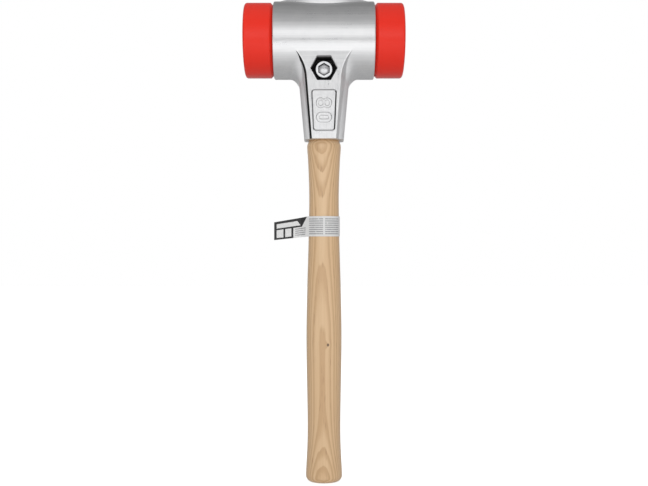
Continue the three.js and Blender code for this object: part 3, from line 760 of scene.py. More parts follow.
def frame_outline(growth):
    """Four sides, narrower at the foot, with rounded corners, all moved out by the growth."""
    half = (FRAME_END - FRAME_TOP) / 2 + growth
    top_half = panel_half_width(FRAME_TOP) - FRAME_TOP_MARGIN + growth
    end_half = panel_half_width(FRAME_END) - FRAME_END_MARGIN + growth
    corner = FRAME_CORNER + growth / 2
    return rounded([
        [-end_half, -half, corner],
        [end_half, -half, corner],
        [top_half, half, corner],
        [-top_half, half, corner],
    ], closed=True)


def sunk_frame():
    """The frame's hollow: walls lean outwards, soft along the floor and along the lip."""
    wall = rounded([
        [-FRAME_DEPTH, -2 * FRAME_DRAFT, 0],
        [-FRAME_DEPTH, -FRAME_DRAFT, FRAME_SOFTENING],
        [0, 0, FRAME_SOFTENING],
        [FRAME_SOFTENING, 2 * FRAME_DRAFT, 0],
    ])
    rings = [
        np.insert(frame_outline(growth), 2, out, axis=1)
        for out, growth in wall
    ]
    return shell("sunk_frame", on_panel(stack(rings)))


def raised_loop(name, path, stroke):
    """A raised line: a ridge with sloping sides carried round a closed path."""
    ahead = np.roll(path[:-1], -1, axis=0) - np.roll(path[:-1], 1, axis=0)
    ahead = np.concatenate([ahead, ahead[:1]]) / np.linalg.norm(ahead, axis=1).max()
    side = np.column_stack([ahead[:, 1], -ahead[:, 0]])
    side /= np.linalg.norm(side, axis=1)[:, None]
    crest = (stroke - FIGURE_SLOPE) / 2
    root = crest + 2 * FIGURE_SLOPE
    shoulder = FIGURE_RISE / 2
    ridge = rounded([
        [-root, -FIGURE_RISE, 0],
        [-crest, FIGURE_RISE, shoulder],
        [crest, FIGURE_RISE, shoulder],
        [root, -FIGURE_RISE, 0],
    ], closed=True)
    flat = path[:, None] + side[:, None] * ridge[None, :, :1]
    out = np.broadcast_to(ridge[None, :, 1:] - FRAME_DEPTH, flat.shape[:2] + (1,))
    return shell(name, on_panel(np.concatenate([flat, out], axis=-1)))


def raised_figures():
    """The face size, 8 above 0, lying on their sides: two round lobes, and one long loop."""
    angle = np.linspace(0, 2 * np.pi, FIGURE_SIDES + 1)
    lobe = (FIGURE_HEIGHT - EIGHT_STROKE) / 4
    reach = (FIGURE_WIDTH - EIGHT_STROKE) / 2
    for side in (-1, 1):
        across = side * lobe + lobe * np.cos(angle)
        path = np.column_stack([across, FIGURE_PITCH / 2 + reach * np.sin(angle)])
        yield raised_loop("figure_lobe", path, EIGHT_STROKE)
    straight = (FIGURE_HEIGHT - FIGURE_WIDTH) / 2
    reach = (FIGURE_WIDTH - NOUGHT_STROKE) / 2
    towards_end = np.sign(np.round(np.cos(angle), COSINE_DIGITS))
    across = reach * np.cos(angle) + straight * towards_end
    path = np.column_stack([across, -FIGURE_PITCH / 2 + reach * np.sin(angle)])
    yield raised_loop("figure_loop", path, NOUGHT_STROKE)


def spigot_bore(side):
    """A bore from the web out past the barrel's end, opening on a cone at its mouth."""
    far = BARREL_HALF + OVERCUT
    bore = rounded([
        [side * WEB_HALF, 0, 0],
        [side * WEB_HALF, SPIGOT_BORE, BORE_CORNER],
        [side * (BARREL_HALF - BARREL_EDGE), SPIGOT_BORE, 0],
        [side * far, SPIGOT_BORE + OVERCUT, 0],
        [side * far, 0, 0],
    ])
    return turned_on_barrel("bore", bore)


def round_core():
    """The core between the webs: a circle cut off level, by a chord over the screw pocket."""
    core_half = WEB_HALF - WEB_WALL
    floor_drop = SCREW_DROP - POCKET_ACROSS_FLATS / 2 - POCKET_WALL
    chord = math.asin(floor_drop / SPIGOT_BORE)
    swing = np.linspace(-chord, np.pi + chord, BORE_SIDES)
    swing = np.append(swing, swing[0])
    ring = np.stack([SPIGOT_BORE * np.cos(swing), SPIGOT_BORE * np.sin(swing) + BARREL_HEIGHT], -1)
    ends = [np.column_stack([np.full(len(ring), x), ring]) for x in (-core_half, core_half)]
    return shell("core", stack(ends))


def casting_cuts():
    """The tools that hollow the casting out.

    The bores and the core are followed by the tapered handle socket, the hexagon pocket, the
    screw hole and the sunk frame.
    """
    yield spigot_bore(-1)
    yield spigot_bore(1)
    yield round_core()
    socket_ends = [tenon_ring(height, FIT_GAP) for height in (NECK_END - OVERCUT, TENON_TOP)]
    yield shell("handle_socket", stack(socket_ends))
    pocket_ends = [[y, POCKET_ACROSS_FLATS] for y in (-2 * BARREL_RADIUS, -POCKET_FLOOR)]
    yield hexagon_rod("pocket", pocket_ends)
    near = -2 * POCKET_FLOOR
    hole = [[near, 0], [near, SCREW_BORE], [OVERCUT, SCREW_BORE], [OVERCUT, 0]]
    yield turned_on_screw("screw_hole", hole)
    yield sunk_frame()


def parting_block():
    """Everything behind the parting plane."""
    span = 2 * BARREL_HEIGHT
    corners = np.array([[-1, -1], [1, -1], [1, 1], [-1, 1], [-1, -1]]) * span
    rings = [
        np.column_stack([corners[:, 0], np.full(len(corners), y), corners[:, 1]])
        for y in (-PARTING_GAP / 2, span)
    ]
    return shell("parting_block", stack(rings))


def tenon_ring(height, gap):
    """The tapered tenon's section at a height, grown by a clearance."""
    share = (height - NECK_END) / (TENON_TOP - NECK_END)
    half = (ENTRY_WIDTH + (TENON_TOP_WIDTH - ENTRY_WIDTH) * share) / 2
    return oval(half + gap, half * HANDLE_DEPTH_RATIO + gap, height)


def front_casting():
    """The front half: its skin and top land, hollowed out, with the figures, parted at the back."""
    body = casting_skin()
    carve(body, top_land(), "UNION")
    for tool in casting_cuts():
        carve(body, tool, "DIFFERENCE")
    for figure in raised_figures():
        carve(body, figure, "UNION")
    carve(body, parting_block(), "DIFFERENCE")
    soften(body, CASTING_CREASE)
    return body


def half_turned(piece, name):
    """The same form turned half round about the handle's axis."""
    mesh = piece.data.copy()
    places = np.empty(3 * len(mesh.vertices), np.float32)
    mesh.vertices.foreach_get("co", places)
    mesh.vertices.foreach_set("co", (places.reshape(-1, 3) * [-1, -1, 1]).ravel())
    mesh.update()
    return new_object(name, mesh)


def striking_face():
    """The right-hand face: a thick disc with a rounded rim, on a plain round spigot."""
    inner = BARREL_HALF + FIT_GAP
    outer = inner + FACE_HEAD_LENGTH
    foot = WEB_HALF + FIT_GAP
    profile = rounded([
        [foot, 0, 0],
        [foot, SPIGOT_RADIUS - SPIGOT_CHAMFER, SPIGOT_END_ROUNDING],
        [foot + SPIGOT_CHAMFER, SPIGOT_RADIUS, SPIGOT_SIDE_ROUNDING],
        [inner, SPIGOT_RADIUS, SPIGOT_ROOT_FILLET],
        [inner, FACE_RADIUS - FACE_INNER_CHAMFER, FACE_BACK_ROUNDING],
        [inner + FACE_INNER_CHAMFER, FACE_RADIUS, FACE_SIDE_ROUNDING],
        [outer, FACE_RADIUS, FACE_RIM],
        [outer, 0, 0],
    ])
    face = turned_on_barrel("right_striking_face", profile)
    soften(face, FACE_CREASE)
    return face


def smooth_curve(stations, steps):
    """A smooth line through all stations.

    Each span is a cubic whose end slopes are half the difference between the neighbours on either
    side.
    """
    knots = np.array(stations, float)
    knots = np.concatenate([2 * knots[:1] - knots[1:2], knots, 2 * knots[-1:] - knots[-2:-1]])
    before, start = knots[:-3, None], knots[1:-2, None]
    end, after = knots[2:-1, None], knots[3:, None]
    t = np.linspace(0, 1, steps, endpoint=False)[None, :, None]
    cubic = -before / 2 + 1.5 * start - 1.5 * end + after / 2
    square = before - 2.5 * start + 2 * end - after / 2
    curve = start + (end - before) / 2 * t + square * t**2 + cubic * t**3
    return np.concatenate([curve.reshape(-1, 2), knots[-2:-1]])


def handle_outline():
    """Height and width up the handle, from the knob to the neck."""
    collar = NECK_END - SHOULDER_DROP - COLLAR_RUN
    throat = collar - THROAT_RUN
    share = np.array([1 / 3, 2 / 3])
    ease = share**2 * (3 - 2 * share)
    between_heights = SWELL_HEIGHT + (throat - SWELL_HEIGHT) * share
    between_widths = SWELL_WIDTH + (THROAT_WIDTH - SWELL_WIDTH) * ease
    stations = [
        [BUTT_ROUNDING + KNOB_LAND, KNOB_WIDTH],
        [WAIST_HEIGHT, WAIST_WIDTH],
        [SWELL_HEIGHT, SWELL_WIDTH],
        *np.column_stack([between_heights, between_widths]).tolist(),
        [throat, THROAT_WIDTH],
        [collar, COLLAR_WIDTH],
        [NECK_END - SHOULDER_DROP, SHOULDER_WIDTH],
        [NECK_END - SHOULDER_EDGE_DROP, SHOULDER_EDGE_WIDTH],
        [NECK_END - SEAT_GAP, SHOULDER_TOP_WIDTH],
    ]
    return smooth_curve(stations, OUTLINE_STEPS)


def ash_handle():
    """Oval rings up the handle: a rounded butt, the smooth outline, then the tenon."""
    rings = []
    for swing in np.linspace(-np.pi / 2, 0, 2 * ARC_STEPS):
        half = KNOB_WIDTH / 2 - BUTT_ROUNDING * (1 - math.cos(swing))
        depth = half - (1 - HANDLE_DEPTH_RATIO) * KNOB_WIDTH / 2
        rings.append(oval(half, depth, BUTT_ROUNDING * (1 + math.sin(swing))))
    for height, width in handle_outline():
        rings.append(oval(width / 2, width / 2 * HANDLE_DEPTH_RATIO, height))
    for height in np.linspace(NECK_END, TENON_TOP - TENON_ROUNDING, ARC_STEPS):
        rings.append(tenon_ring(height, 0))
    rings.append(tenon_ring(TENON_TOP, -TENON_ROUNDING))
    handle = shell("ash_handle", stack(rings))
    soften(handle, HANDLE_CREASE)
    return handle


def threaded_shank():
    """Rows along the shank, with a radius that follows the thread, and one that closes its end.

    The thread's height at a point is a blunt triangle wave of turns less travel over the pitch. It
    starts a little below the head, and the tip narrows to the thread's root over one pitch.
    """
    tip = SCREW_LENGTH - SCREW_SEAT
    along = np.arange(-SCREW_SEAT, tip, SCREW_PITCH / THREAD_STEPS)
    turn = np.linspace(0, 1, SCREW_SIDES + 1)
    wave = 2 * np.abs((turn[None] - along[:, None] / SCREW_PITCH) % 1 - 0.5)
    fade = np.clip((along + SCREW_SEAT - THREAD_START) / SCREW_PITCH, 0, 1)
    taper = np.clip((tip - along) / SCREW_PITCH, 0, 1)
    cut = THREAD_DEPTH * np.clip(THREAD_STEEPNESS * wave - THREAD_CREST, 0, 1)
    radius = SCREW_RADIUS - np.maximum(cut * fade[:, None], THREAD_DEPTH * (1 - taper[:, None]))
    rows = np.concatenate([radius, 0 * radius[-1:]])
    travel = np.append(along, along[-1])[:, None]
    return about_axis(travel, rows, 2 * np.pi * turn, "y", SCREW_HEIGHT)


def socket_screw():
    """A turned head on a threaded shank, with a hexagon socket.

    The socket's mouth flares, and its floor runs out to a drill point.
    """
    face = -(SCREW_SEAT + SCREW_HEAD_HEIGHT)
    floor = face + KEY_DEPTH
    head = rounded([
        [face, 0, 0],
        [face, SCREW_HEAD_RADIUS - SCREW_CHAMFER, HEAD_ROUNDING],
        [face + SCREW_CHAMFER, SCREW_HEAD_RADIUS, HEAD_ROUNDING],
        [-SCREW_SEAT, SCREW_HEAD_RADIUS, HEAD_SEAT_ROUNDING],
        [-SCREW_SEAT, SCREW_RADIUS, 0],
    ])
    turned_head = turned(head, SCREW_SIDES, "y", SCREW_HEIGHT)
    screw = shell("socket_screw", turned_head, threaded_shank())
    socket = hexagon_rod("socket", [
        [face - OVERCUT, KEY_MOUTH],
        [face, KEY_MOUTH],
        [face + KEY_FLARE, KEY_ACROSS_FLATS],
        [floor, KEY_ACROSS_FLATS],
    ], KEY_TURN)
    carve(screw, socket, "DIFFERENCE")
    point = [[face, 0], [face, POINT_RADIUS], [floor, POINT_RADIUS], [floor + KEY_POINT, 0]]
    carve(screw, turned_on_screw("point", point), "DIFFERENCE")
    soften(screw, SCREW_CREASE)
    return screw


def flat_ring(name, near, far, outer):
    """A flat ring round the screw with its edges rounded."""
    section = rounded([
        [near, SCREW_BORE, RING_ROUNDING],
        [near, outer, RING_ROUNDING],
        [far, outer, RING_ROUNDING],
        [far, SCREW_BORE, RING_ROUNDING],
    ], closed=True)
    ring = turned_on_screw(name, section)
    soften(ring, RING_CREASE)
    return ring


def captive_nut():
    """A nut: each ring lies on the hexagon or on the chamfer's cone, whichever is nearer in."""
    top = NUT_FOOT + NUT_HEIGHT
    seat = top - LOCK_RING_HEIGHT - SEAT_GAP
    across = POCKET_ACROSS_FLATS - 2 * FIT_GAP
    corner = across / math.sqrt(3)
    seat_radius = LOCK_RING_RADIUS + FIT_GAP
    rows = np.array([
        [NUT_FOOT, SCREW_BORE],
        [NUT_FOOT, corner],
        [top - NUT_CHAMFER, corner],
        [top, corner - 2 * NUT_CHAMFER],
        [top, seat_radius],
        [seat, seat_radius],
        [seat, SCREW_BORE],
        [NUT_FOOT, SCREW_BORE],
    ])
    chamfer = np.linspace(rows[2], rows[3], ARC_STEPS, endpoint=False)[1:]
    rows = np.concatenate([rows[:3], chamfer, rows[3:]])
    angle = np.linspace(0, 2 * np.pi, SCREW_SIDES + 1)
    radius = np.minimum(rows[:, 1:], hexagon_radius(across, angle)[None])
    nut = shell("captive_nut", about_axis(rows[:, :1], radius, angle, "y", SCREW_HEIGHT))
    soften(nut, NUT_CREASE)
    return nut


def label_plan():
    """The label seen from above: in along the flag, round the handle and out along the flag.

    It leaves the oval where a line from the join touches it, at the angle whose cosine is the
    oval's half width over the join's distance. The flag's two layers lie a little over half the
    paper's thickness off its middle, and it curls aside by a square times part of a sine wave.
    """
    heights = NECK_END - LABEL_DROP + np.array([0, LABEL_WIDTH])
    outline = handle_outline()
    widest = np.interp(heights, outline[:, 0], outline[:, 1]).max() / 2
    half = widest + FIT_GAP + PAPER_THICKNESS / 2
    depth = (widest + FIT_GAP) * HANDLE_DEPTH_RATIO + PAPER_THICKNESS / 2
    join = half + LABEL_JOIN
    tip = join + FLAG_LENGTH
    leave = np.pi - math.acos(half / join)
    swing = np.linspace(-leave, leave, OVAL_SIDES)
    loop = np.stack([half * np.cos(swing), depth * np.sin(swing)], axis=-1)
    apart = PAPER_THICKNESS * FLAG_LAYER_OFFSET
    run = np.linspace(0, 1, FLAG_STEPS, endpoint=False)[:, None]
    near_join, near_tip = np.array([-join, -apart]), np.array([-tip, -apart])
    flag = near_tip + (near_join - near_tip) * run
    near = np.concatenate([flag, near_join + (loop[0] - near_join) * run])
    plan = np.concatenate([near, loop, near[::-1] * [1, -1]])
    beyond = np.clip(-half - plan[:, 0], 0, None)
    share = beyond / (LABEL_JOIN + FLAG_LENGTH)
    plan[:, 1] -= FLAG_CURL * share**2 * np.sin(np.pi * share * FLAG_CURL_TURN)
    return plan, beyond, share


def paper_label():
    """A paper strip: a thin section carried along the plan, sloping down and narrowing to its tip.

    Each point keeps its place on the print: distance along the strip, share of the height, and 1
    on the outer side or 0 on the inner.
    """
    plan, beyond, share = label_plan()
    ahead = np.gradient(plan, axis=0)
    out = np.column_stack([ahead[:, 1], -ahead[:, 0]]) / np.linalg.norm(ahead, axis=1)[:, None]
    run = np.concatenate([[0], np.cumsum(np.linalg.norm(np.diff(plan, axis=0), axis=1))])
    top = NECK_END - LABEL_DROP + LABEL_WIDTH - FLAG_SLOPE * beyond
    tall = LABEL_WIDTH + (FLAG_END_WIDTH - LABEL_WIDTH) * share
    section = np.array([[1, 0], [1, 1], [0, 1], [0, 0]])
    points = []
    prints = []
    for outer, up in section:
        place = plan + out * PAPER_THICKNESS * (outer - 0.5)
        points.append(np.column_stack([place, top - tall * (1 - up)]))
        prints.append(np.column_stack([run, np.full(len(run), up), np.full(len(run), outer)]))
    points = np.stack(points, axis=1)
    number = np.arange(len(plan) * len(section)).reshape(len(plan), len(section))
    sides = grid_faces(np.hstack([number, number[:, :1]]))
    faces = np.concatenate([sides, number[:1, ::-1], number[-1:]])
    mesh = bpy.data.meshes.new("paper_label")
    mesh.from_pydata(points.reshape(-1, 3) * MM, [], faces)
    print_place = mesh.attributes.new("print_place", "FLOAT_VECTOR", "POINT")
    print_place.data.foreach_set("vector", np.stack(prints, axis=1).astype(np.float32).ravel())
    label = new_object("paper_label", mesh)
    soften(label, LABEL_CREASE)
    return label


# Materials


def fill(tree, socket, value):
    """Gives an input a value, or links another node's output to it."""
    if isinstance(value, bpy.types.NodeSocket):
        tree.links.new(value, socket)
    else:
        socket.default_value = value


def add_node(tree, kind, inputs=None, **settings):
    """A node with its settings, and inputs given as values or as other nodes' outputs."""
    node = tree.nodes.new(kind)
    for name, value in settings.items():
        setattr(node, name, value)
    for socket, value in (inputs or {}).items():
        fill(tree, node.inputs[socket], value)
    return node


def compute(tree, operation, *values):
    """One step of arithmetic on values or on other nodes' outputs."""
    return add_node(tree, "ShaderNodeMath", dict(enumerate(values)), operation=operation).outputs[0]


def length(tree, a, b):
    """The long side of a right-angled triangle."""
    squares = compute(tree, "MULTIPLY_ADD", a, a, compute(tree, "MULTIPLY", b, b))
    return compute(tree, "SQRT", squares)


def spread(tree, value, low, high, start=0.0, end=1.0):
    """Carries a value from one range on to another with a smooth step."""
    inputs = {0: value, 1: low, 2: high, 3: start, 4: end}
    return add_node(tree, "ShaderNodeMapRange", inputs, interpolation_type="SMOOTHSTEP").outputs[0]


def within(tree, value, low, high):
    """1 between two limits, and 0 elsewhere."""
    above = compute(tree, "GREATER_THAN", value, low)
    return compute(tree, "MULTIPLY", above, compute(tree, "LESS_THAN", value, high))


def either(tree, *shares):
    """The greatest of several shares."""
    joined = shares[0]
    for share in shares[1:]:
        joined = compute(tree, "MAXIMUM", joined, share)
    return joined


def both(tree, *shares):
    """Several shares multiplied together."""
    joined = shares[0]
    for share in shares[1:]:
        joined = compute(tree, "MULTIPLY", joined, share)
    return joined


def mean_of(tree, first, second, share):
    """Two values added together, the first counting for the given share."""
    rest = compute(tree, "MULTIPLY", second, 1 - share)
    return compute(tree, "MULTIPLY_ADD", first, share, rest)


def split(tree, vector):
    """A vector's X, Y and Z."""
    return add_node(tree, "ShaderNodeSeparateXYZ", {0: vector}).outputs


def in_millimetres(tree, place):
    """A point's own place in millimetres: along X, along Y and up from the butt."""
    inputs = {0: place, "Scale": 1 / MM}
    return split(tree, add_node(tree, "ShaderNodeVectorMath", inputs, operation="SCALE").outputs[0])


def noise(tree, place, scale=1.0, detail=2.0, roughness=0.5):
    """Soft random marks, so many to the unit of the place."""
    inputs = {"Vector": place, "Scale": scale, "Detail": detail, "Roughness": roughness}
    return add_node(tree, "ShaderNodeTexNoise", inputs).outputs[0]


def streaks(tree, place, marks, *detail):
    """Soft random marks drawn out along an axis, so many to the metre along X, Y and Z."""
    drawn_out = add_node(tree, "ShaderNodeMapping", {"Vector": place, "Scale": marks}).outputs[0]
    return noise(tree, drawn_out, 1.0, *detail)


def blend(tree, share, first, second):
    """A colour between two colours, each given as a value or another node's output."""
    inputs = {0: share, 6: first, 7: second}
    return add_node(tree, "ShaderNodeMix", inputs, data_type="RGBA").outputs[2]


def ramp(tree, share, *stops):
    """A colour that runs through stops, each given as its position and its colour."""
    node = add_node(tree, "ShaderNodeValToRGB", {0: share})
    points = node.color_ramp.elements
    for k, (position, colour) in enumerate(stops):
        point = points[k] if k < 2 else points.new(position)
        point.position = position
        point.color = colour
    return node.outputs[0]


def bump(tree, height, distance, strength):
    """A fine relief that follows a height."""
    inputs = {"Height": height, "Distance": distance, "Strength": strength}
    return add_node(tree, "ShaderNodeBump", inputs).outputs[0]


def start_material(name):
    """A new material's node tree, its main shader and the piece's own coordinates in metres."""
    material = bpy.data.materials.new(name)
    material.use_nodes = True
    tree = material.node_tree
    shader = tree.nodes["Principled BSDF"]
    place = add_node(tree, "ShaderNodeTexCoord").outputs["Object"]
    return material, tree, shader, place


def set_inputs(tree, shader, **inputs):
    """Fills a shader's inputs, whose names are given with an underscore for each space."""
    for name, value in inputs.items():
        fill(tree, shader.inputs[name.replace("_", " ")], value)


def set_finish(tree, shader, colour, uneven, polish, height, relief, **others):
    """A shader's colour, its roughness and its relief.

    The roughness is the polish's first value, plus the unevenness times its second.
    """
    least, added = polish
    rough = compute(tree, "MULTIPLY_ADD", uneven, added, least)
    normal = bump(tree, height, *relief)
    set_inputs(tree, shader, Base_Color=colour, Roughness=rough, Normal=normal, **others)


def grey(value):
    """A colour without hue."""
    return (value, value, value, 1)


def pocket_share(tree, across, drop):
    """1 inside the hexagon pocket: the greatest distance from the axis square to its flats."""
    up = compute(tree, "SUBTRACT", SCREW_DROP, drop)
    half_up = compute(tree, "MULTIPLY", up, 0.5)
    slant = compute(tree, "MULTIPLY", across, math.sqrt(0.75))
    rising = compute(tree, "ABSOLUTE", compute(tree, "ADD", half_up, slant))
    falling = compute(tree, "ABSOLUTE", compute(tree, "SUBTRACT", half_up, slant))
    off_axis = either(tree, compute(tree, "ABSOLUTE", up), rising, falling)
    flat = POCKET_ACROSS_FLATS / 2
    return spread(tree, off_axis, flat, flat + POCKET_EDGE_FADE, 1.0, 0.0)


def frame_walls(tree, across, drop):
    """1 on the sunk frame's walls, and their colour, which is painted light and shade: each wall gets
    a tone by its side, darkest on the right.

    A point's inset from the rounded outline is its distance from the nearest side, less the
    corner's rounding near two sides; the walls take up the draft's width.
    """
    top_half = panel_half_width(FRAME_TOP) - FRAME_TOP_MARGIN
    end_half = panel_half_width(FRAME_END) - FRAME_END_MARGIN
    taper = (end_half - top_half) / (FRAME_END - FRAME_TOP)
    side = compute(tree, "MULTIPLY_ADD", drop, taper, top_half - taper * FRAME_TOP)
    from_side = compute(tree, "SUBTRACT", side, compute(tree, "ABSOLUTE", across))
    off_middle = compute(tree, "ABSOLUTE", compute(tree, "SUBTRACT", drop, FRAME_DROP))
    half = (FRAME_END - FRAME_TOP) / 2 * math.cos(math.atan(PANEL_SLOPE))
    from_end = compute(tree, "SUBTRACT", half, off_middle)
    nearest = compute(tree, "MINIMUM", from_side, from_end)
    short = [
        compute(tree, "MAXIMUM", compute(tree, "SUBTRACT", FRAME_CORNER, gap), 0.0)
        for gap in (from_side, from_end)
    ]
    deepest = compute(tree, "MAXIMUM", nearest, FRAME_CORNER)
    inset = compute(tree, "SUBTRACT", deepest, length(tree, *short))
    begun = spread(tree, inset, -FRAME_SHADING_START, FRAME_SHADING_START)
    lasting = spread(tree, inset, FRAME_DRAFT, FRAME_SHADING_END, 1.0, 0.0)
    on_right = compute(tree, "GREATER_THAN", across, 0.0)
    on_foot = compute(tree, "GREATER_THAN", drop, FRAME_DROP)
    on_end = compute(tree, "LESS_THAN", from_end, from_side)
    sides = blend(tree, on_right, FRAME_LEFT_WALL_SHADING, FRAME_RIGHT_WALL_SHADING)
    ends = blend(tree, on_foot, FRAME_TOP_WALL_SHADING, FRAME_FOOT_WALL_SHADING)
    return both(tree, begun, lasting), blend(tree, on_end, sides, ends)


def under_panel(tree, depth, drop):
    """How far a point lies below the panel's sloping face."""
    reach = compute(tree, "MULTIPLY_ADD", drop, -PANEL_SLOPE, panel_reach(0))
    return compute(tree, "SUBTRACT", reach, depth)


def left_wall_share(tree, across, under, drop):
    """1 on the panel's left wall, where black shade is painted: beyond its edge by the draft for every
    step below its face.
    """
    rise = compute(tree, "MAXIMUM", compute(tree, "SUBTRACT", PANEL_FLARE_DROP, drop), 0.0)
    rise_square = compute(tree, "MULTIPLY", rise, rise)
    fall = compute(tree, "SQRT", compute(tree, "SUBTRACT", PANEL_FLARE_RADIUS**2, rise_square))
    flare = compute(tree, "SUBTRACT", PANEL_FLARE_RADIUS, fall)
    middle = (PANEL_END_WIDTH + PANEL_SPREAD * NECK_DROP) / 2
    taper = compute(tree, "MULTIPLY_ADD", drop, -PANEL_SPREAD / 2, middle)
    edge = compute(tree, "ADD", taper, flare)
    wall = compute(tree, "MULTIPLY_ADD", under, math.tan(PANEL_DRAFT), edge)
    off_wall = compute(tree, "ABSOLUTE", compute(tree, "ADD", across, wall))
    on_wall = spread(tree, off_wall, *WALL_SHADE_THICKNESS, 1.0, 0.0)
    below_face = spread(tree, under, *WALL_SHADE_START)
    lowest = WALL_SHADE_WIDTH / math.tan(PANEL_DRAFT)
    above_foot = spread(tree, under, lowest, lowest + WALL_SHADE_FADE, 1.0, 0.0)
    return both(tree, on_wall, below_face, above_foot)


def linishing(tree, place, on_neck):
    """Scratches along the barrel that give way to scratches down the neck."""
    along_barrel = streaks(tree, place, BARREL_SCRATCH, *SCRATCH_DETAIL)
    down_neck = streaks(tree, place, NECK_SCRATCH, *SCRATCH_DETAIL)
    from_barrel = compute(tree, "MULTIPLY", along_barrel, compute(tree, "SUBTRACT", 1.0, on_neck))
    return compute(tree, "MULTIPLY_ADD", down_neck, on_neck, from_barrel)


def cast_metal():
    """Linished cast aluminium: scratches run along the barrel and down the neck, over a mottle.

    The screw pocket is rough and not metallic, with painted shade from pale at its mouth to black
    inside. The neck's flanks are rougher; the front panel's left wall has painted black shade on the
    front half, and the sunk frames' walls painted light and shade by side, both rougher as well.
    """
    material, tree, shader, place = start_material("cast_metal")
    x, y, z = in_millimetres(tree, place)
    facing = compute(tree, "MULTIPLY", compute(tree, "SIGN", y), -1.0)
    across = compute(tree, "MULTIPLY", x, facing)
    depth = compute(tree, "ABSOLUTE", y)
    drop = compute(tree, "SUBTRACT", BARREL_HEIGHT, z)
    on_neck = spread(tree, drop, *BARREL_SCRATCH_END)
    scratch = linishing(tree, place, on_neck)
    mottle = noise(tree, place, *METAL_MOTTLE)
    grain = noise(tree, place, *METAL_GRAIN)
    tone = mean_of(tree, scratch, mottle, SCRATCH_IN_TONE)
    bright = ramp(tree, tone, *zip(METAL_TONES, (METAL_DARK, METAL_LIGHT)))
    pocket = pocket_share(tree, across, drop)
    walls, wall_shading = frame_walls(tree, across, drop)
    under = under_panel(tree, depth, drop)
    on_front = compute(tree, "LESS_THAN", y, 0.0)
    left_wall = both(tree, on_front, left_wall_share(tree, across, under, drop))
    # Painted light and shade on the frame walls, a tone for each side
    framed = blend(tree, walls, bright, wall_shading)
    # Painted black shade on the front panel's left wall
    lined = blend(tree, left_wall, framed, BLACK_WALL_SHADE)
    # Painted shade in the screw pocket, falling from pale at its mouth to black with depth
    into_pocket_shade = spread(tree, under, 0.0, POCKET_SHADE_DEPTH)
    colour = blend(tree, pocket, lined, blend(tree, into_pocket_shade, POCKET_MOUTH, POCKET_SHADE_BLACK))
    least, added = METAL_POLISH
    polish = compute(tree, "MULTIPLY_ADD", tone, added, least)
    flank = both(tree, on_neck, spread(tree, under, *FLANK_UNDER_PANEL))
    dull_and_shade = either(tree, pocket, walls, left_wall, flank)
    dulled = (polish, SKIN_ROUGHNESS)
    relief = mean_of(tree, scratch, grain, SCRATCH_IN_RELIEF)
    bare = compute(tree, "SUBTRACT", 1.0, pocket)
    set_finish(tree, shader, colour, dull_and_shade, dulled, relief, METAL_RELIEF, Metallic=bare)
    return material


def red_plastic():
    """Satin red plastic: faint moulding haze and a fine grain."""
    material, tree, shader, place = start_material("red_plastic")
    haze = noise(tree, place, *RED_HAZE)
    grain = noise(tree, place, *RED_GRAIN)
    colour = blend(tree, haze, RED_DEEP, RED_BRIGHT)
    set_finish(tree, shader, colour, haze, RED_POLISH, grain, RED_RELIEF, Specular_IOR_Level=RED_SHEEN)
    return material


def from_pith(tree, x, y, z):
    """Distance from the tree's pith, which leans sideways and bows.

    It comes nearest the handle at one height, and falls back from it by the square of the
    distance above or below.
    """
    beside = compute(tree, "MULTIPLY_ADD", z, PITH_LEAN, PITH_BESIDE)
    from_nearest = compute(tree, "SUBTRACT", z, PITH_NEAREST)
    square = compute(tree, "MULTIPLY", from_nearest, from_nearest)
    behind = compute(tree, "MULTIPLY_ADD", square, PITH_BOW, PITH_BEHIND)
    return length(tree, compute(tree, "SUBTRACT", x, beside), compute(tree, "SUBTRACT", y, behind))


def from_pin_knot(tree, x, z):
    """Distance from the pin knot's middle, with the height above it pressed together."""
    beside = compute(tree, "SUBTRACT", x, PIN_KNOT[0])
    above = compute(tree, "DIVIDE", compute(tree, "SUBTRACT", z, PIN_KNOT[1]), KNOT_STRETCH)
    return length(tree, beside, above)


def early_wood(tree, distance):
    """1 in the open wood that starts a year's ring, fading to 0 in the late wood.

    A point's ring is its distance from the pith over the ring spacing.
    """
    ring = compute(tree, "FRACT", compute(tree, "DIVIDE", distance, RING_SPACING))
    begins = spread(tree, ring, *EARLY_WOOD_BEGINS)
    return both(tree, begins, spread(tree, ring, *EARLY_WOOD_FADES, 1.0, 0.0))


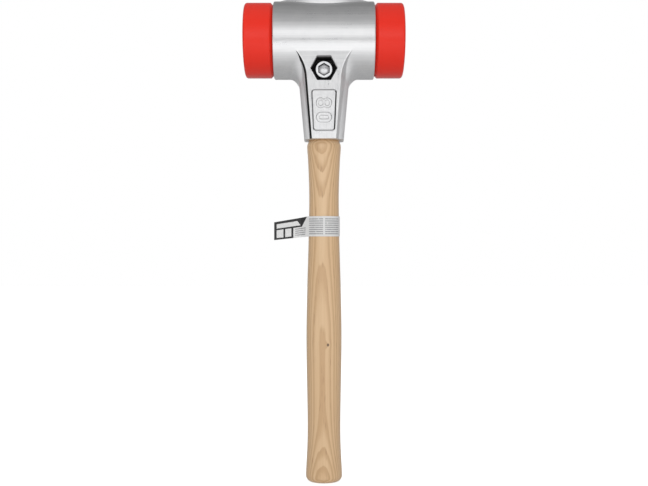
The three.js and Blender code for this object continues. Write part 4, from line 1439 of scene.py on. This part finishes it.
def ash_wood():
    """Lacquered ash: yearly rings about a pith behind the handle, fibre streaks and short pores.

    The open early wood of each ring is darker. One small pin knot at the front bends the rings.
    """
    material, tree, shader, place = start_material("ash_wood")
    x, y, z = in_millimetres(tree, place)
    wander = streaks(tree, place, WOOD_WANDER)
    ripple = streaks(tree, place, WOOD_RIPPLE)
    distance = compute(tree, "MULTIPLY_ADD", wander, WANDER_REACH, from_pith(tree, x, y, z))
    distance = compute(tree, "MULTIPLY_ADD", ripple, RIPPLE_REACH, distance)
    from_knot = from_pin_knot(tree, x, z)
    at_front = compute(tree, "LESS_THAN", y, 0.0)
    bend = both(tree, at_front, spread(tree, from_knot, 0.0, KNOT_BEND_REACH, KNOT_BEND, 0.0))
    early = early_wood(tree, compute(tree, "ADD", distance, bend))
    fibre = streaks(tree, place, WOOD_FIBRE, *FIBRE_DETAIL)
    patch = streaks(tree, place, WOOD_PATCH)
    dash = streaks(tree, place, WOOD_PORE, *PORE_DETAIL)
    open_wood = compute(tree, "MULTIPLY_ADD", early, PORES_IN_EARLY_WOOD, PORES_EVERYWHERE)
    pore = both(tree, spread(tree, dash, *PORE_LIMITS), open_wood)
    knot_fade = spread(tree, from_knot, KNOT_HEART, KNOT_RADIUS, 1.0, 0.0)
    knot = both(tree, at_front, knot_fade)
    pale = blend(tree, patch, WOOD_WARM, WOOD_PALE)
    streak = spread(tree, fibre, *STREAK_LIMITS, 0.0, STREAK_SHARE)
    streaked = blend(tree, streak, pale, WOOD_STREAK)
    ringed = blend(tree, compute(tree, "MULTIPLY", early, EARLY_WOOD_SHARE), streaked, WOOD_EARLY)
    pored = blend(tree, compute(tree, "MULTIPLY", pore, PORE_SHARE), ringed, WOOD_DARK)
    colour = blend(tree, knot, pored, KNOT_DARK)
    relief = compute(tree, "SUBTRACT", compute(tree, "MULTIPLY", fibre, FIBRE_IN_RELIEF), pore)
    set_finish(tree, shader, colour, fibre, WOOD_POLISH, relief, WOOD_RELIEF)
    set_inputs(tree, shader, Coat_Weight=LACQUER_WEIGHT, Coat_Roughness=LACQUER_ROUGHNESS)
    return material


def off_screw_axis(tree, x, z):
    """Distance from the screw's axis."""
    return length(tree, x, compute(tree, "SUBTRACT", z, SCREW_HEIGHT))


def bright_zinc():
    """Zinc plate on turned steel: fine rings about the screw's axis and a faint bloom.

    Painted shade: a thin dark line follows the key socket's rim, and a grey shade lies round its
    floor.
    """
    material, tree, shader, place = start_material("bright_zinc")
    x, y, z = in_millimetres(tree, place)
    radius = off_screw_axis(tree, x, z)
    turning = noise(tree, radius, TURNING_RINGS_PER_MM)
    bloom = noise(tree, place, *ZINC_BLOOM)
    plate = ramp(tree, bloom, *zip(ZINC_TONES, (ZINC_DARK, ZINC_LIGHT)))
    inside = compute(tree, "ADD", y, SCREW_SEAT + SCREW_HEAD_HEIGHT)
    by_rim = within(tree, inside, *SOCKET_RIM_DEPTHS)
    on_rim = both(tree, by_rim, within(tree, radius, *SOCKET_RIM_RADII))
    deep = within(tree, inside, SOCKET_FLOOR_SHADE_DEPTH, SCREW_HEAD_HEIGHT)
    in_socket = compute(tree, "LESS_THAN", radius, SOCKET_REACH)
    dull_and_shade = both(tree, deep, in_socket, spread(tree, radius, *SOCKET_FLOOR_SHADE_FROM))
    # Painted shade: dark along the socket's rim, grey round its floor
    colour = blend(tree, on_rim, blend(tree, dull_and_shade, plate, SOCKET_FLOOR_SHADE), SOCKET_RIM_SHADE)
    set_finish(tree, shader, colour, bloom, ZINC_POLISH, turning, TURNING_RELIEF, Metallic=1.0)
    return material


def black_oxide():
    """Blackened steel: nearly black, with a faint bloom and fine turning rings."""
    material, tree, shader, place = start_material("black_oxide")
    x, _, z = in_millimetres(tree, place)
    turning = noise(tree, off_screw_axis(tree, x, z), TURNING_RINGS_PER_MM)
    bloom = noise(tree, place, *OXIDE_BLOOM)
    colour = blend(tree, bloom, OXIDE_DARK, OXIDE_LIGHT)
    set_finish(tree, shader, colour, bloom, OXIDE_POLISH, turning, TURNING_RELIEF, Metallic=1.0)
    return material


def plain_nylon():
    """Natural nylon: milky, with a soft unevenness."""
    material, tree, shader, place = start_material("plain_nylon")
    cloud = noise(tree, place, *NYLON_CLOUD)
    colour = blend(tree, cloud, NYLON_DARK, NYLON_LIGHT)
    set_finish(tree, shader, colour, cloud, NYLON_POLISH, cloud, NYLON_RELIEF)
    return material


def flag_print(tree, run, up):
    """The black print on the flag: a frame of blank boxes, and a wedge standing on its point."""
    before_boxes_end = compute(tree, "LESS_THAN", run, BOXES_END)
    before_wedge = compute(tree, "LESS_THAN", run, WEDGE_MIDDLE)
    bands = either(tree, compute(tree, "GREATER_THAN", up, TOP_BAND), within(tree, up, *MIDDLE_BAND))
    upper = both(tree, bands, before_wedge)
    posts = either(tree, *[within(tree, run, *post) for post in BOX_POSTS])
    foot = compute(tree, "LESS_THAN", up, FOOT_BAND)
    below_middle = compute(tree, "LESS_THAN", up, MIDDLE_BAND[1])
    lower = both(tree, either(tree, posts, foot), below_middle, before_boxes_end)
    end = compute(tree, "LESS_THAN", run, END_BAND)
    off_point = compute(tree, "ABSOLUTE", compute(tree, "SUBTRACT", run, WEDGE_MIDDLE))
    wedge_edge = compute(tree, "MULTIPLY_ADD", off_point, WEDGE_SLOPE, WEDGE_FOOT)
    wedge = compute(tree, "GREATER_THAN", up, wedge_edge)
    return either(tree, upper, lower, end, wedge)


def broken_bars(tree, run, up):
    """Grey bars in columns: part of each pitch up the label, broken by soft random marks."""
    row = compute(tree, "DIVIDE", up, BAR_PITCH)
    on_bar = compute(tree, "LESS_THAN", compute(tree, "FRACT", row), BAR_SHARE)
    spot = add_node(tree, "ShaderNodeCombineXYZ", {0: run, 1: compute(tree, "FLOOR", row)}).outputs[0]
    breaks = noise(tree, spot, *BAR_BREAKS)
    columns = either(tree, *[within(tree, run, *column) for column in BAR_COLUMNS])
    inside = within(tree, up, *BAR_COLUMN_LIMITS)
    flag_column = both(tree, within(tree, run, *FLAG_COLUMN), within(tree, up, *FLAG_COLUMN_LIMITS))
    printed = either(tree, both(tree, columns, inside), flag_column)
    return both(tree, on_bar, printed, spread(tree, breaks, *BREAK_LIMITS))


def label_print():
    """Coated paper with a generic print: black boxes and a wedge on the flag, and grey bars."""
    material, tree, shader, place = start_material("label_print")
    spot = add_node(tree, "ShaderNodeAttribute", attribute_name="print_place").outputs["Vector"]
    run, up, outer = split(tree, spot)
    black = both(tree, flag_print(tree, run, up), outer)
    bars = both(tree, broken_bars(tree, run, up), outer)
    fibre = noise(tree, place, *PAPER_FIBRE)
    paper = blend(tree, fibre, PAPER_DARK, PAPER_LIGHT)
    barred = blend(tree, compute(tree, "MULTIPLY", bars, BAR_STRENGTH), paper, BAR_GREY)
    colour = blend(tree, black, barred, PRINT_BLACK)
    set_finish(tree, shader, colour, fibre, PAPER_POLISH, fibre, PAPER_RELIEF)
    return material


# Stage: a pale floor, soft light and the photograph's camera


def pale_floor():
    """A level floor, white to the camera with the mallet's shadow kept.

    Metal sees a painted glow in its place, which falls to grey towards the back as light on a floor
    does away from a lamp in front.
    """
    material, tree, shader, place = start_material("pale_floor")
    cloud = noise(tree, place, *FLOOR_CLOUD)
    colour = blend(tree, cloud, FLOOR_DARK, FLOOR_LIGHT)
    seen = add_node(tree, "ShaderNodeLightPath").outputs
    lift = compute(tree, "MULTIPLY", seen["Is Camera Ray"], FLOOR_LIFT)
    set_inputs(tree, shader, Base_Color=colour, Roughness=FLOOR_ROUGHNESS)
    set_inputs(tree, shader, Emission_Color=grey(1), Emission_Strength=lift)
    # Painted glow for reflections: bright in front, greyer towards the back
    behind = split(tree, place)[1]
    tone = spread(tree, behind, *FLOOR_FALL, FLOOR_FRONT, FLOOR_BEHIND)
    painted_floor_glow = add_node(tree, "ShaderNodeEmission", {"Color": grey(1), "Strength": tone}).outputs[0]
    glossy = either(tree, seen["Is Glossy Ray"], seen["Is Transmission Ray"])
    mixed = add_node(tree, "ShaderNodeMixShader", {0: glossy, 1: shader.outputs[0], 2: painted_floor_glow})
    tree.links.new(mixed.outputs[0], tree.nodes["Material Output"].inputs[0])
    near, far, side = FLOOR_REACH
    corners = np.array([[-side, -near, 0], [side, -near, 0], [side, far, 0], [-side, far, 0]])
    mesh = bpy.data.meshes.new("floor")
    mesh.from_pydata(corners, [], [(0, 1, 2, 3)])
    mesh.materials.append(material)
    new_object("floor", mesh)


def softbox(name, place, target, size, radiance):
    """A rectangular lamp whose face has the given brightness, 1 being white."""
    lamp = bpy.data.lights.new(name, "AREA")
    lamp.shape = "RECTANGLE"
    lamp.size, lamp.size_y = size
    lamp.energy = radiance * math.pi * size[0] * size[1]
    box = new_object(name, lamp)
    box.visible_glossy = False
    box.location = place
    aim = np.array(target) - np.array(place)
    level = math.hypot(aim[0], aim[1])
    box.rotation_euler = (math.atan2(level, -aim[2]), 0, math.atan2(-aim[0], aim[1]))


def studio_world():
    """White to the camera; other rays meet a soft room, brightest behind the camera."""
    world = bpy.data.worlds.new("studio")
    bpy.context.scene.world = world
    world.use_nodes = True
    tree = world.node_tree
    tree.nodes.remove(tree.nodes["Background"])
    way = add_node(tree, "ShaderNodeTexCoord").outputs["Generated"]
    x, y, z = split(tree, way)
    angle = compute(tree, "ARCTAN2", z, compute(tree, "MULTIPLY", y, -1.0))
    first, last = ROOM_BY_ANGLE[0][0], ROOM_BY_ANGLE[-1][0]
    turn = math.radians(last - first)
    share = compute(tree, "MULTIPLY_ADD", angle, 1 / turn, -math.radians(first) / turn)
    stops = [((degrees - first) / (last - first), grey(tone)) for degrees, tone in ROOM_BY_ANGLE]
    ahead = ramp(tree, share, *stops)
    walls = spread(tree, x, *ROOM_ACROSS, ROOM_LEFT, ROOM_RIGHT)
    aside = spread(tree, compute(tree, "ABSOLUTE", x), *ROOM_CORNER)
    tone = blend(tree, aside, ahead, walls)
    room = add_node(tree, "ShaderNodeBackground", {"Color": tone}).outputs[0]
    white = add_node(tree, "ShaderNodeBackground", {"Color": grey(1)}).outputs[0]
    seen = add_node(tree, "ShaderNodeLightPath").outputs["Is Camera Ray"]
    chosen = add_node(tree, "ShaderNodeMixShader", {0: seen, 1: room, 2: white}).outputs[0]
    tree.links.new(chosen, tree.nodes["World Output"].inputs[0])


def photo_camera():
    """Level with the middle of the handle and straight on."""
    lens = bpy.data.cameras.new("photo_camera")
    lens.sensor_width = SENSOR_WIDTH
    lens.lens = LENS_LENGTH
    camera = new_object("photo_camera", lens)
    camera.location = CAMERA_PLACE
    camera.rotation_euler = (math.pi / 2, 0, 0)
    bpy.context.scene.camera = camera


def dress(piece, material, body, node):
    """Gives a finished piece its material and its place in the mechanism."""
    piece.data.materials.clear()
    piece.data.materials.append(material)
    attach(piece, body)
    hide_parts(node)


def build_mallet():
    """Every piece of the mallet with its finish; the rear half and the left face are turned copies."""
    metal = cast_metal()
    red = red_plastic()
    zinc = bright_zinc()
    front = front_casting()
    right = striking_face()
    rear = half_turned(front, "rear_casting")
    left = half_turned(right, "left_striking_face")
    washer_radius = POCKET_ACROSS_FLATS / 2 - WASHER_PLAY
    washer_back = WASHER_THICKNESS - WASHER_FACE
    washer = flat_ring("flat_washer", -WASHER_FACE, washer_back, washer_radius)
    nut_top = NUT_FOOT + NUT_HEIGHT
    lock_ring = flat_ring("nylon_ring", nut_top - LOCK_RING_HEIGHT, nut_top, LOCK_RING_RADIUS)
    dress(front, metal, "front_half", "front_housing")
    dress(rear, metal, "rear_half", "rear_housing")
    dress(right, red, "right_face", "right_face")
    dress(left, red, "left_face", "left_face")
    dress(ash_handle(), ash_wood(), "front_half", "handle")
    dress(paper_label(), label_print(), "front_half", "handle_label")
    dress(socket_screw(), zinc, "clamp_screw", "clamp_screw")
    dress(washer, black_oxide(), "front_half", "screw_washer")
    dress(captive_nut(), zinc, "rear_half", "clamp_nut")
    dress(lock_ring, plain_nylon(), "rear_half", "nut_lock_ring")


def build_stage():
    """The floor, the light and the camera."""
    pale_floor()
    studio_world()
    softbox("key", KEY_LAMP_PLACE, KEY_LAMP_TARGET, KEY_LAMP_SIZE, KEY_LAMP_TONE)
    softbox("top", TOP_LAMP_PLACE, TOP_LAMP_TARGET, TOP_LAMP_SIZE, TOP_LAMP_TONE)
    photo_camera()
    bpy.context.scene.view_settings.view_transform = "Standard"


build_mallet()
build_stage()
